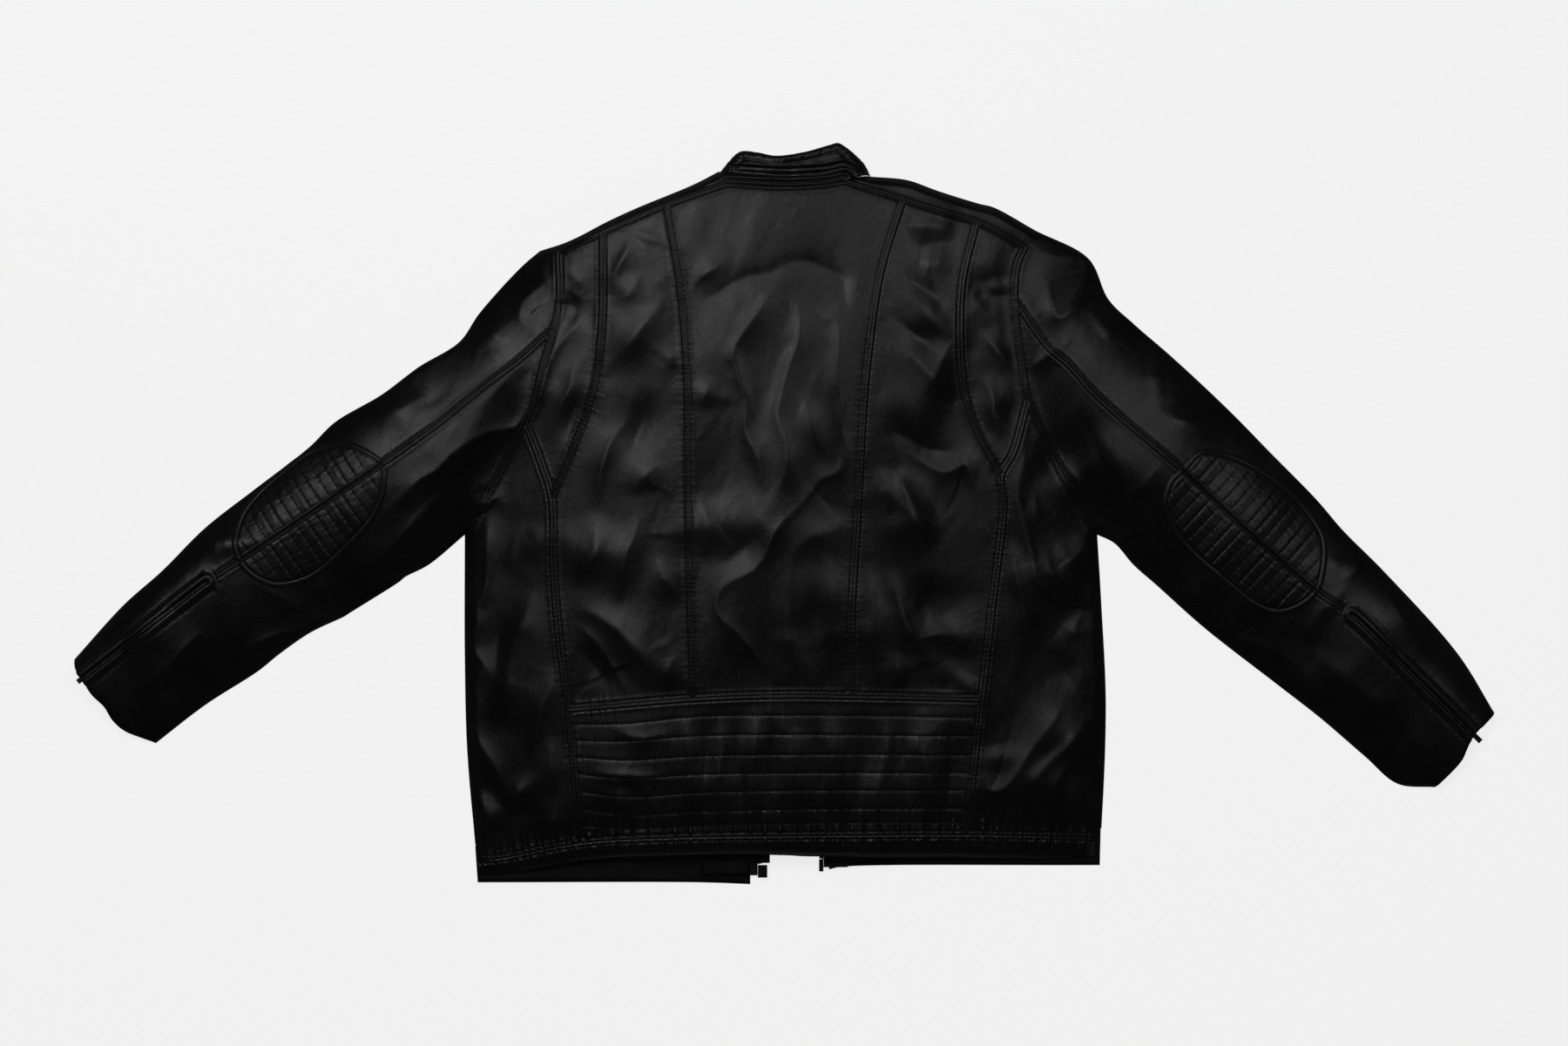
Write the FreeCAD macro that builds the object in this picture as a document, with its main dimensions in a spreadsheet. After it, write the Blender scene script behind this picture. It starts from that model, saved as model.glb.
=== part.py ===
import FreeCAD, Part
import math
import os

# Leather riding jacket, laid flat face down with its front unzipped.
# Frame: millimetres, +Z up (away from the surface the jacket lies on, the outer side of the
# back), +X toward the wearer's right sleeve, +Y toward the collar.  The front panels lie on
# z = 0, the back is a shallow dome over them, each sleeve is a flattened tube.
# Left and right are the wearer's.

V = FreeCAD.Vector
doc = FreeCAD.newDocument("riding_jacket")

# ---------------------------------------------------------------- driving dimensions
sheet = doc.addObject("Spreadsheet::Sheet", "Dimensions")
CELLS = [
    ("dome_radius", 1300.0),         # radius of the arched back
    ("dome_top", 44.0),              # height of the back's outer face on the centre line
    ("back_thick", 2.0),             # leather and interlining of the back
    ("panel_gap", 0.15),             # half of the gap at a seam
    ("front_thick", 2.2),            # front panels
    ("sleeve_thick", 1.6),           # upper layer of a sleeve
    ("sleeve_front_thick", 2.0),     # lower layer of a sleeve
    ("edge_height", 2.5),            # where the upper layer starts over the lower one
    ("patch_lift", 0.2),
    ("patch_thick", 2.2),
    ("lining_thick", 0.7),
    ("lining_lift", 0.3),
    ("elastic_thick", 1.0),
    ("collar_radius", 200.0),
    ("collar_centre", 10.0),
    ("collar_thick", 2.4),
    ("placket_thick", 1.5),
    ("facing_thick", 1.0),
    ("tape_thick", 0.8),
    ("tooth_height", 3.6),
    ("tooth_pitch", 3.0),
    ("tooth_width", 1.8),
    ("tooth_reach", 3.0),
    ("cord_width", 1.4),
    ("zip_length", 600.0),
    ("coil_height", 2.4),
    ("coil_width", 1.4),
    ("coil_gap", 1.0),
    ("coil_tape_thick", 0.6),
    ("bag_thick", 0.8),
    ("pin_radius", 0.5),
    ("eye_radius", 1.05),
    ("eye_bore", 0.56),
    ("slider_length", 11.0),
    ("slider_width", 8.0),
    ("plate_thick", 0.7),
    ("post_width", 0.7),
    ("puller_length", 22.0),
    ("puller_width", 5.0),
    ("puller_thick", 1.0),
    ("main_slider_width", 12.0),
    ("main_slider_length", 13.0),
    ("main_plate_thick", 1.1),
    ("main_post_width", 1.6),
    ("main_puller_width", 7.0),
    ("main_puller_length", 28.0),
    ("main_puller_thick", 1.2),
    ("snap_radius", 6.0),
    ("snap_post_radius", 1.9),
    ("snap_socket_bore", 2.4),
    ("cut_height", 80.0),
]
for row, (alias, value) in enumerate(CELLS, 1):
    sheet.set("A%d" % row, alias)
    sheet.set("B%d" % row, "%g" % value)
    sheet.setAlias("B%d" % row, alias)
doc.recompute()


def d(alias):
    return float(sheet.get(alias))


def bind(obj, prop, expr):
    """Tie a property to cells of the sheet; names in expr are the cells' aliases."""
    out, word = "", ""
    for ch in expr + " ":
        if ch.isalnum() or ch == "_":
            word += ch
        else:
            if word and word[0].isalpha():
                out += "Dimensions." + word
            else:
                out += word
            out += ch
            word = ""
    obj.setExpression(prop, out.strip())


# ---------------------------------------------------------------- outlines
# Seen from above; each list is the outline of one cut panel.
PANELS = {
    'back_centre_panel': [(-114.8, 300.9), (-55.2, 321.3), (-42.5, 320.4), (0, 317.9),
        (42.5, 320.4), (57.8, 323.8), (115.6, 306), (94.3, 236.3), (82.5, 158.9), (77.3, 102),
        (71.4, -7.6), (66.3, -92.6), (65.5, -175.9), (0, -175.1), (-88.4, -178.5),
        (-91, -90.1), (-93.5, 46.8), (-94.3, 134.3), (-101.1, 221)],
    'back_left_panel': [(-176.8, 274.6), (-165.8, 279.6), (-114.8, 300.9), (-101.1, 221),
        (-94.3, 134.3), (-93.5, 46.8), (-91, -90.1), (-88.4, -178.5), (-210.8, -189.5),
        (-220.2, -115.6), (-225.2, -52.7), (-226.9, 16.1), (-205.7, 64.6), (-185.3, 121.5),
        (-177.7, 183.6)],
    'back_right_panel': [(115.6, 306), (187.8, 284.8), (174.2, 228.7), (171.7, 183.6),
        (174.2, 134.3), (184.4, 89.2), (211.7, 37.4), (214.2, 9.3), (203.2, -90.1),
        (192.9, -179.3), (65.5, -175.9), (66.3, -92.6), (71.4, -7.6), (77.3, 102),
        (82.5, 158.9), (94.3, 236.3)],
    'back_left_armhole_panel': [(-220.2, 255.8), (-176.8, 274.6), (-177.7, 183.6),
        (-185.3, 121.5), (-205.7, 64.6), (-226.9, 16.1), (-238, 51.9), (-252.4, 89.2),
        (-245.7, 104.5), (-232.9, 153.8), (-224.4, 181.9), (-219.3, 209.1)],
    'back_right_armhole_panel': [(187.8, 284.8), (194.7, 282.2), (235.4, 260.9),
        (227.8, 243.9), (225.2, 209.1), (232, 151.3), (238.8, 113), (224.4, 62), (211.7, 37.4),
        (184.4, 89.2), (174.2, 134.3), (171.7, 183.6), (174.2, 228.7)],
    'left_side_panel': [(-252.4, 89.2), (-238, 51.9), (-226.9, 16.1), (-225.2, -52.7),
        (-220.2, -115.6), (-210.8, -189.5), (-204, -260.1), (-198.9, -320.4), (-277.9, -336.6),
        (-301.8, -339.1), (-311.1, -234.6), (-313.6, -140.2), (-313.6, -19.6), (-278.8, 39.1)],
    'right_side_panel': [(238.8, 113), (256.7, 71.4), (282.2, 22.1), (307.7, -19.6),
        (311.9, -90.1), (316.2, -185.3), (312.8, -289.8), (310.2, -318.8), (299.2, -317.1),
        (176.8, -311.9), (184.4, -252.4), (192.9, -179.3), (203.2, -90.1), (214.2, 9.3),
        (211.7, 37.4), (224.4, 62)],
    'waist_quilted_panel': [(-210.8, -189.5), (-88.4, -178.5), (0, -175.1), (65.5, -175.9),
        (192.9, -179.3), (184.4, -252.4), (176.8, -311.9), (0, -311.9), (-115.6, -314.5),
        (-198.9, -320.4), (-204, -260.1)],
    'back_hem_band': [(-301.8, -339.1), (-277.9, -336.6), (-198.9, -320.4), (-115.6, -314.5),
        (0, -311.9), (176.8, -311.9), (299.2, -317.1), (310.2, -318.8), (310.2, -339.1),
        (170, -335.8), (28.9, -334.1), (-21.2, -332.3), (-115.6, -334.9), (-187, -339.1),
        (-255, -350.2), (-300.9, -354.4)],
    'left_shoulder_yoke': [(-239.7, 259.2), (-165.8, 295.8), (-102, 313.6), (-57.8, 328.1),
        (-55.2, 321.3), (-114.8, 300.9), (-165.8, 279.6), (-176.8, 274.6), (-220.2, 255.8)],
    'right_shoulder_yoke': [(57.8, 323.8), (115.6, 306), (187.8, 284.8), (194.7, 282.2),
        (235.4, 260.9), (246.5, 279.6), (195.5, 305.1), (136, 321.3), (81.6, 332.3)],
    'collar_back': [(-63.8, 335.8), (-43.4, 355.3), (-25.5, 354.4), (-8.5, 351.1),
        (18.7, 354.4), (42.5, 361.2), (52.7, 363.8), (59.5, 360.4), (64.6, 354.4),
        (79.9, 342.6), (85, 332.3), (57.8, 323.8), (42.5, 320.4), (0, 317.9), (-42.5, 320.4),
        (-55.2, 322.1), (-62.9, 328.9)],
    'front_left_panel': [(-239.7, 259.2), (-165.8, 295.8), (-102, 313.6), (-57.8, 328.1),
        (-57.8, 326.4), (-52.7, 302.6), (-33.1, 279.6), (-33.1, -323.8), (-303.4, -323.8),
        (-311.1, -234.6), (-313.6, -140.2), (-313.6, -19.6), (-278.8, 39.1), (-252.4, 89.2),
        (-245.7, 104.5), (-232.9, 153.8), (-224.4, 181.9), (-219.3, 209.1), (-220.2, 255.8)],
    'front_right_panel': [(71.4, 328.9), (85, 331.5), (136, 321.3), (195.5, 305.1),
        (246.5, 279.6), (235.4, 260.9), (227.8, 243.9), (225.2, 209.1), (232, 151.3),
        (238.8, 113), (256.7, 71.4), (282.2, 22.1), (307.7, -19.6), (311.9, -90.1),
        (316.2, -185.3), (312.8, -289.8), (311.9, -307.7), (44.2, -307.7), (44.2, 279.6),
        (63.8, 302.6)],
    'front_left_hem': [(-303.4, -325.6), (-33.1, -325.6), (-33.1, -362.9), (-85, -361.2),
        (-300.9, -361.2)],
    'front_right_hem': [(44.2, -309.4), (311.1, -309.4), (310.2, -344.2), (56.9, -345.9),
        (44.2, -348.5)],
    'left_collar_front': [(-57.8, 326.4), (-52.7, 302.6), (-33.1, 279.6), (-10.2, 296.6),
        (-18.7, 322.1), (-40.8, 347.6)],
    'right_collar_front': [(71.4, 328.9), (63.8, 302.6), (44.2, 279.6), (22.1, 296.6),
        (30.6, 322.1), (52.7, 347.6)],
    'back_lining': [(-204, 247.3), (-110.5, 285.6), (-51, 305.1), (0, 303.4), (55.2, 306.8),
        (115.6, 289.8), (212.5, 247.3), (219.3, 209.1), (225.2, 151.3), (212.5, 115.6),
        (187, 26.3), (246.5, -7.6), (246.5, -305.1), (-238, -305.1), (-246.5, -7.6),
        (-221, 13.6), (-204, 94.3), (-197.2, 153.8)],
    'front_left_lining': [(-197.2, 221.8), (-119, 272.8), (-85, 279.6), (-72.2, 221.8),
        (-72.2, -309.4), (-242.2, -309.4), (-242.2, -7.6), (-216.8, 102.8)],
    'front_right_lining': [(85, 279.6), (119, 279.6), (204, 221.8), (212.5, 115.6),
        (242.2, -7.6), (242.2, -296.6), (85, -296.6), (85, 221.8)],
    'left_crown': [(-239.7, 259.2), (-257.6, 243.9), (-299.2, 198), (-372.3, -61.2),
        (-349.3, -49.3), (-316.2, -20.4), (-313.6, -19.6), (-278.8, 39.1), (-252.4, 89.2),
        (-245.7, 104.5), (-232.9, 153.8), (-224.4, 181.9), (-219.3, 209.1), (-220.2, 255.8)],
    'left_sleeve_outer': [(-299.2, 198), (-307.7, 188.7), (-318.8, 169.2), (-340, 156.4),
        (-358.7, 145.3), (-395.2, 118.1), (-441.1, 91), (-462.4, 72.2), (-466.6, 66.3),
        (-435.3, 20), (-390.1, 51), (-327.8, 96.5)],
    'left_sleeve_inner': [(-327.8, 96.5), (-390.1, 51), (-435.3, 20), (-377.4, -65.5),
        (-372.3, -61.2)],
    'left_sleeve_front': [(-299.2, 198), (-307.7, 188.7), (-318.8, 169.2), (-340, 156.4),
        (-358.7, 145.3), (-395.2, 118.1), (-441.1, 91), (-462.4, 72.2), (-466.6, 66.3),
        (-377.4, -65.5), (-372.3, -61.2)],
    'left_elbow': [(-466.6, 66.3), (-483.6, 54.4), (-516.8, 27.2), (-519.4, 25.5),
        (-432.6, -100.3), (-425.8, -96), (-379.9, -67.1), (-377.4, -65.5)],
    'left_forearm_outer': [(-519.4, 25.5), (-568.6, -12.8), (-611.1, -55.2), (-648.5, -88.4),
        (-697, -141.9), (-692.8, -155.5), (-691, -157.2), (-688.1, -154.8), (-567.2, -60.8),
        (-563.5, -65.5), (-539.8, -50.1), (-490, -17)],
    'left_forearm_inner': [(-490, -17), (-539.8, -50.1), (-563.5, -65.5), (-559.9, -70.1),
        (-674.9, -168.3), (-677.4, -176.8), (-665.5, -188.7), (-657.9, -202.3),
        (-646.9, -212.5), (-617.1, -224.4), (-607.8, -217.6), (-568.6, -187), (-532.1, -161.5),
        (-516.8, -153.8), (-495.6, -136.8), (-464.9, -115.6), (-432.6, -100.3)],
    'left_forearm_front': [(-519.4, 25.5), (-568.6, -12.8), (-611.1, -55.2), (-648.5, -88.4),
        (-697, -141.9), (-692.8, -155.5), (-680.9, -167.4), (-677.4, -176.8), (-665.5, -188.7),
        (-657.9, -202.3), (-646.9, -212.5), (-617.1, -224.4), (-607.8, -217.6), (-568.6, -187),
        (-532.1, -161.5), (-516.8, -153.8), (-495.6, -136.8), (-464.9, -115.6),
        (-432.6, -100.3)],
    'left_elbow_patch': [(-390.1, 51), (-410.6, 66.3), (-431.8, 72.2), (-462.4, 66.3),
        (-483.6, 52.7), (-516.8, 23.8), (-533.8, 0), (-538.9, -30.6), (-532.1, -49.3),
        (-516.8, -63.8), (-495.6, -71.4), (-462.4, -63.8), (-425.8, -34), (-398.6, -3.4),
        (-387.6, 23.8)],
    'right_crown': [(246.5, 279.6), (299.2, 251.6), (318.8, 211.7), (344.2, 187),
        (365.5, -68.8), (343.4, -49.3), (324.7, -28.1), (307.7, -19.6), (282.2, 22.1),
        (256.7, 71.4), (238.8, 113), (232, 151.3), (225.2, 209.1), (227.8, 243.9),
        (235.4, 260.9)],
    'right_sleeve_outer': [(344.2, 187), (382.5, 153.8), (392.7, 145.3), (436.9, 102.8),
        (477.7, 61.2), (429.7, 4.8), (386.8, 45), (353.7, 73.1)],
    'right_sleeve_inner': [(353.7, 73.1), (386.8, 45), (429.7, 4.8), (366.3, -69.7),
        (365.5, -68.8)],
    'right_sleeve_front': [(344.2, 187), (382.5, 153.8), (392.7, 145.3), (436.9, 102.8),
        (477.7, 61.2), (366.3, -69.7), (365.5, -68.8)],
    'right_elbow': [(477.7, 61.2), (515.9, 23.8), (523.6, 14.4), (413.1, -111.3),
        (366.3, -69.7)],
    'right_forearm_outer': [(523.6, 14.4), (549.1, -15.3), (589, -55.2), (662.1, -136.8),
        (697.9, -194.7), (691.9, -200.6), (678.3, -212.5), (673.2, -209.1), (558.3, -93.4),
        (554.2, -97.8), (521.9, -76.5), (477.4, -38.1)],
    'right_forearm_inner': [(477.4, -38.1), (521.9, -76.5), (554.2, -97.8), (550.1, -102.1),
        (664.7, -216.8), (670.6, -221.8), (663, -240.5), (639.2, -267.8), (602.6, -264.3),
        (570.4, -237.2), (527.9, -200.6), (485.3, -167.4), (425, -121.5), (413.1, -111.3)],
    'right_forearm_front': [(523.6, 14.4), (549.1, -15.3), (589, -55.2), (662.1, -136.8),
        (697.9, -194.7), (691.9, -200.6), (678.3, -212.5), (670.6, -221.8), (663, -240.5),
        (639.2, -267.8), (602.6, -264.3), (570.4, -237.2), (527.9, -200.6), (485.3, -167.4),
        (425, -121.5), (413.1, -111.3)],
    'right_elbow_patch': [(386.8, 45), (407.1, 63.8), (436.9, 60.4), (467.5, 46.8),
        (498.1, 23.8), (519.4, 0), (531.2, -24.6), (527.9, -61.2), (521.9, -76.5),
        (504.1, -91.8), (482.8, -97.8), (461.6, -91.8), (425, -63.8), (391.8, -34),
        (373.1, -6.8), (368.9, 11.9), (376.6, 35.7)],
    'left_sleeve_lining': [(-310.2, 169.2), (-340, 141.1), (-391, 106.2), (-437.8, 73.1),
        (-448.8, 56.1), (-382.5, -41.6), (-367.2, -26.3)],
    'right_sleeve_lining': [(348.5, 162.3), (382.5, 138.5), (433.5, 92.6), (465.8, 60.4),
        (374, -50.1), (368.9, -41.6)],
}

# Sleeve stations from the shoulder to the cuff: upper edge, lower edge, where the ridge
# lies between them, height of the ridge.
STATIONS = {
    'left': [
        ((-178.5, 323.8), (-238, 36.5), 0.5, 27),
        ((-301.8, 200.6), (-374, -68.8), 0.5, 27),
        ((-469.2, 70.5), (-380.8, -70.5), 0.42, 25),
        ((-521.9, 29.8), (-433.5, -102), 0.36, 22),
        ((-613.7, -51), (-518.5, -157.2), 0.2965, 22),
        ((-712.3, -151.3), (-629, -238.8), 0.196, 22),
    ],
    'right': [
        ((199.8, 374.8), (233.8, 51), 0.5, 27),
        ((351.9, 191.2), (358.7, -68.8), 0.5, 27),
        ((480.2, 63.8), (367.2, -76.5), 0.447, 25),
        ((526.1, 15.3), (412.2, -114.8), 0.428, 22),
        ((605.2, -64.6), (491.3, -177.7), 0.3702, 22),
        ((726.8, -217.6), (633.2, -292.4), 0.2997, 22),
    ],
}

# Shoulder yoke stations from the collar to the sleeve head: seam side, front edge.
YOKES = {
    'left': [
        ((-62.9, 318.8), (-66.3, 324.7)),
        ((-114.8, 300.9), (-123.2, 307.7)),
        ((-165.8, 279.6), (-178.5, 289.4)),
        ((-176.8, 274.6), (-193.8, 281.8)),
        ((-218.4, 256.7), (-238, 260.1)),
    ],
    'right': [
        ((62.9, 321.7), (86.7, 328.9)),
        ((115.6, 306), (136, 321.3)),
        ((187.8, 284.8), (195.5, 305.1)),
        ((194.7, 282.2), (204, 300.9)),
        ((233.8, 261.8), (244.8, 279.6)),
    ],
}


def area(pts):
    return 0.5 * sum(p[0] * q[1] - q[0] * p[1] for p, q in zip(pts, pts[1:] + pts[:1]))


def inset(pts, gap):
    """Move every edge of an outline inward by gap."""
    if area(pts) < 0:
        pts = pts[::-1]
    lines = []
    for p, q in zip(pts, pts[1:] + pts[:1]):
        dx, dy = q[0] - p[0], q[1] - p[1]
        n = math.hypot(dx, dy)
        lines.append(((p[0] - dy / n * gap, p[1] + dx / n * gap), (dx / n, dy / n)))
    out = []
    for i, p in enumerate(pts):
        (a, u), (b, v) = lines[i - 1], lines[i]
        cross = u[0] * v[1] - u[1] * v[0]
        if abs(cross) < 0.05:
            out.append(b)
            continue
        k = ((b[0] - a[0]) * v[1] - (b[1] - a[1]) * v[0]) / cross
        x, y = a[0] + u[0] * k, a[1] + u[1] * k
        if math.hypot(x - p[0], y - p[1]) > 6 * gap:
            x, y = p[0] + (x - p[0]) * 0.5, p[1] + (y - p[1]) * 0.5
        out.append((x, y))
    return out


def draw(sketch, pts):
    """Closed outline of straight segments joined end to end."""
    import Sketcher
    first = sketch.GeometryCount
    n = len(pts)
    geo = [Part.LineSegment(V(p[0], p[1], 0), V(q[0], q[1], 0)) for p, q in zip(pts, pts[1:] + pts[:1])]
    sketch.addGeometry(geo, False)
    if n <= 60:
        sketch.addConstraint([Sketcher.Constraint("Coincident", first + i, 2, first + (i + 1) % n, 1)
                              for i in range(n)])


def flat_sketch(label, *outlines):
    sketch = doc.addObject("Sketcher::SketchObject", label)
    sketch.Label = label
    for pts in outlines:
        draw(sketch, pts)
    return sketch


def origin_plane(body, role):
    for f in body.Origin.OriginFeatures:
        if f.Role == role:
            return f


def plate(label, outlines, z, thick):
    """Flat piece: one PartDesign body, its outline (and holes) padded to the thickness."""
    body = doc.addObject("PartDesign::Body", label)
    body.Label = label
    sketch = body.newObject("Sketcher::SketchObject", label + "_outline")
    sketch.AttachmentSupport = [(origin_plane(body, "XY_Plane"), "")]
    sketch.MapMode = "FlatFace"
    for pts in outlines:
        draw(sketch, pts)
    pad = body.newObject("PartDesign::Pad", label + "_pad")
    pad.Profile = sketch
    bind(pad, "Length", thick)
    body.Placement = FreeCAD.Placement(V(0, 0, z), FreeCAD.Rotation())
    return body


def prism(label, pts):
    sketch = flat_sketch(label + "_cut", pts)
    ext = doc.addObject("Part::Extrusion", label + "_prism")
    ext.Base = sketch
    ext.DirMode = "Custom"
    ext.Dir = V(0, 0, 1)
    bind(ext, "LengthFwd", "cut_height")
    ext.Solid = True
    sketch.Placement = FreeCAD.Placement(V(0, 0, -1), FreeCAD.Rotation())
    return ext


def common(label, base, tool):
    obj = doc.addObject("Part::Common", label)
    obj.Base = base
    obj.Tool = tool
    obj.Label = label
    return obj


def compound(label, parts):
    obj = doc.addObject("Part::Compound", label)
    obj.Links = parts
    obj.Label = label
    return obj


NODES = {}


def node(label, obj):
    NODES[label] = obj
    return obj


# ---------------------------------------------------------------- the arched back
def arch(label, top, radius, lift, thick):
    """Shell between two cylinders that lie along Y: its outer face is lift inside the dome."""
    cyls = []
    for k, extra in enumerate(("", " - " + thick)):
        c = doc.addObject("Part::Cylinder", "%s_cylinder_%d" % (label, k))
        bind(c, "Radius", radius + " - " + lift + extra)
        bind(c, "Height", "1000")
        c.Placement = FreeCAD.Placement(V(0, 450, 0), FreeCAD.Rotation(V(1, 0, 0), 90))
        bind(c, "Placement.Base.z", top + " - " + radius)
        cyls.append(c)
    cut = doc.addObject("Part::Cut", label)
    cut.Base, cut.Tool = cyls
    return cut


dome = arch("dome", "dome_top", "dome_radius", "0", "back_thick")
lining_dome = arch("lining_dome", "dome_top", "dome_radius", "(back_thick + lining_lift)", "lining_thick")
elastic_dome = arch("elastic_dome", "dome_top", "dome_radius", "(back_thick + lining_lift)", "elastic_thick")
collar_arch = arch("collar_arch", "dome_top", "collar_radius", "0", "collar_thick")
for obj in list(doc.Objects):
    if obj.Name.startswith("collar_arch_cylinder"):
        bind(obj, "Placement.Base.x", "collar_centre")

GAP = d("panel_gap")
for label in ("back_centre_panel", "back_left_panel", "back_right_panel",
              "back_left_armhole_panel", "back_right_armhole_panel", "left_side_panel",
              "right_side_panel", "waist_quilted_panel", "back_hem_band"):
    node(label, common(label, dome, prism(label, inset(PANELS[label], GAP))))

node("back_lining", common("back_lining", lining_dome, prism("back_lining", PANELS["back_lining"])))
hem = [p for p in inset(PANELS["back_hem_band"], 4.0)]
node("hem_elastic", common("hem_elastic", elastic_dome, prism("hem_elastic", hem)))


# ---------------------------------------------------------------- upright planes for sections
def upright(label, origin, along):
    """A sketch standing on its edge: its x axis runs along the given direction, its y axis up."""
    n = math.hypot(along[0], along[1])
    c, s = along[0] / n, along[1] / n
    m = FreeCAD.Matrix(c, 0, s, origin[0], s, 0, -c, origin[1], 0, 1, 0, 0, 0, 0, 0, 1)
    sketch = doc.addObject("Sketcher::SketchObject", label)
    sketch.Placement = FreeCAD.Placement(m)
    return sketch


def arc(centre, radius, p, q):
    """Arc of a circle that runs counter-clockwise from p to q."""
    a = math.atan2(p[1] - centre[1], p[0] - centre[0])
    b = math.atan2(q[1] - centre[1], q[0] - centre[0])
    if b < a:
        b += 2 * math.pi
    return Part.ArcOfCircle(Part.Circle(V(centre[0], centre[1], 0), V(0, 0, 1), radius), a, b)


def loft(label, sections):
    obj = doc.addObject("Part::Loft", label)
    obj.Sections = sections
    obj.Solid = True
    obj.Ruled = True
    obj.Label = label
    return obj


def sleeve_loft(label, side, outside, inside):
    """Flattened tube over the sleeve's lower layer; outside and inside are offsets of its two
    faces from the leather's outer face, positive outward."""
    edge = d("edge_height")
    sections = []
    for k, (up, low, ridge, top) in enumerate(STATIONS[side]):
        ax, ay = low[0] - up[0], low[1] - up[1]
        width = math.hypot(ax, ay)
        origin = (up[0] + ax * ridge, up[1] + ay * ridge)
        sketch = upright("%s_section_%d" % (label, k), origin, (ax, ay))
        rise = top - edge
        ends = []
        for sign, reach in ((-1, width * ridge), (1, width * (1 - ridge))):
            radius = (reach * reach + rise * rise) / (2 * rise)
            centre = (0, top - radius)
            drop = edge - centre[1]
            ends.append((centre, radius,
                         sign * math.sqrt((radius + outside) ** 2 - drop ** 2),
                         sign * math.sqrt((radius + inside) ** 2 - drop ** 2)))
        (cu, ru, uo, ui), (cl, rl, lo, li) = ends
        peak, under = (0, top + outside), (0, top + inside)
        geo = [
            arc(cu, ru + outside, peak, (uo, edge)),
            Part.LineSegment(V(uo, edge, 0), V(ui, edge, 0)),
            arc(cu, ru + inside, under, (ui, edge)),
            arc(cl, rl + inside, (li, edge), under),
            Part.LineSegment(V(li, edge, 0), V(lo, edge, 0)),
            arc(cl, rl + outside, (lo, edge), peak),
        ]
        sketch.addGeometry(geo, False)
        sections.append(sketch)
    return loft(label, sections)


for side in ("left", "right"):
    tube = sleeve_loft(side + "_sleeve_tube", side, 0.0, -d("sleeve_thick"))
    cover = sleeve_loft(side + "_patch_tube", side, d("patch_lift") + d("patch_thick"), d("patch_lift"))

    def top(part, key):
        key = side + "_" + key
        return common(part, tube, prism(part, inset(PANELS[key], GAP)))

    def under(part, key):
        return plate(part, [inset(PANELS[side + "_" + key], GAP)], 0.0, "sleeve_front_thick")

    n = side + "_sleeve_crown"
    node(n, compound(n, [top(n + "_back", "crown"), under(n + "_front", "crown")]))
    n = side + "_sleeve_outer_panel"
    node(n, top(n, "sleeve_outer"))
    n = side + "_sleeve_inner_panel"
    node(n, top(n, "sleeve_inner"))
    n = side + "_sleeve_front_panel"
    node(n, under(n, "sleeve_front"))
    n = side + "_elbow_zone"
    node(n, compound(n, [top(n + "_back", "elbow"), under(n + "_front", "elbow")]))
    n = side + "_forearm_outer_panel"
    node(n, top(n, "forearm_outer"))
    n = side + "_forearm_inner_panel"
    node(n, top(n, "forearm_inner"))
    n = side + "_forearm_front_panel"
    node(n, under(n, "forearm_front"))
    n = side + "_elbow_patch"
    node(n, common(n, cover, prism(n, PANELS[side + "_elbow_patch"])))
    n = side + "_sleeve_lining"
    node(n, plate(n, [PANELS[side + "_sleeve_lining"]], d("edge_height"), "lining_thick"))


# ---------------------------------------------------------------- shoulder yokes
def dome_height(x):
    r = d("dome_radius")
    return d("dome_top") - r + math.sqrt(r * r - x * x)


for side in ("left", "right"):
    name = side + "_shoulder_yoke"
    sections = []
    for k, (seam, front) in enumerate(YOKES[side]):
        ax, ay = front[0] - seam[0], front[1] - seam[1]
        width = math.hypot(ax, ay)
        sketch = upright("%s_section_%d" % (name, k), seam, (ax, ay))
        a, b = (0.35, dome_height(seam[0])), (width, d("edge_height"))
        mid = ((a[0] + b[0]) / 2, (a[1] + b[1]) / 2)
        ux, uy = b[0] - a[0], b[1] - a[1]
        length = math.hypot(ux, uy)
        nx, ny = -uy / length, ux / length
        bulge = 0.10 * length
        thick = d("back_thick")
        om = (mid[0] + nx * bulge, mid[1] + ny * bulge)
        im = (om[0] - nx * thick, om[1] - ny * thick)
        c = (a[0], a[1] - 1.3 * thick)
        e = (b[0] - thick, b[1])
        outer = Part.Arc(V(a[0], a[1], 0), V(om[0], om[1], 0), V(b[0], b[1], 0))
        inner = Part.Arc(V(c[0], c[1], 0), V(im[0], im[1], 0), V(e[0], e[1], 0))
        sketch.addGeometry([outer, Part.LineSegment(V(b[0], b[1], 0), V(e[0], e[1], 0)),
                            inner, Part.LineSegment(V(c[0], c[1], 0), V(a[0], a[1], 0))], False)
        sections.append(sketch)
    node(name, loft(name, sections))

# ---------------------------------------------------------------- collar
collar_back = common("collar_back", collar_arch, prism("collar_back", inset(PANELS["collar_back"], GAP)))
collar_fronts = [plate(side + "_collar_front", [inset(PANELS[side + "_collar_front"], GAP)], 0.0, "front_thick")
                 for side in ("left", "right")]
node("collar_band", compound("collar_band", [collar_back] + collar_fronts))

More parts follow.
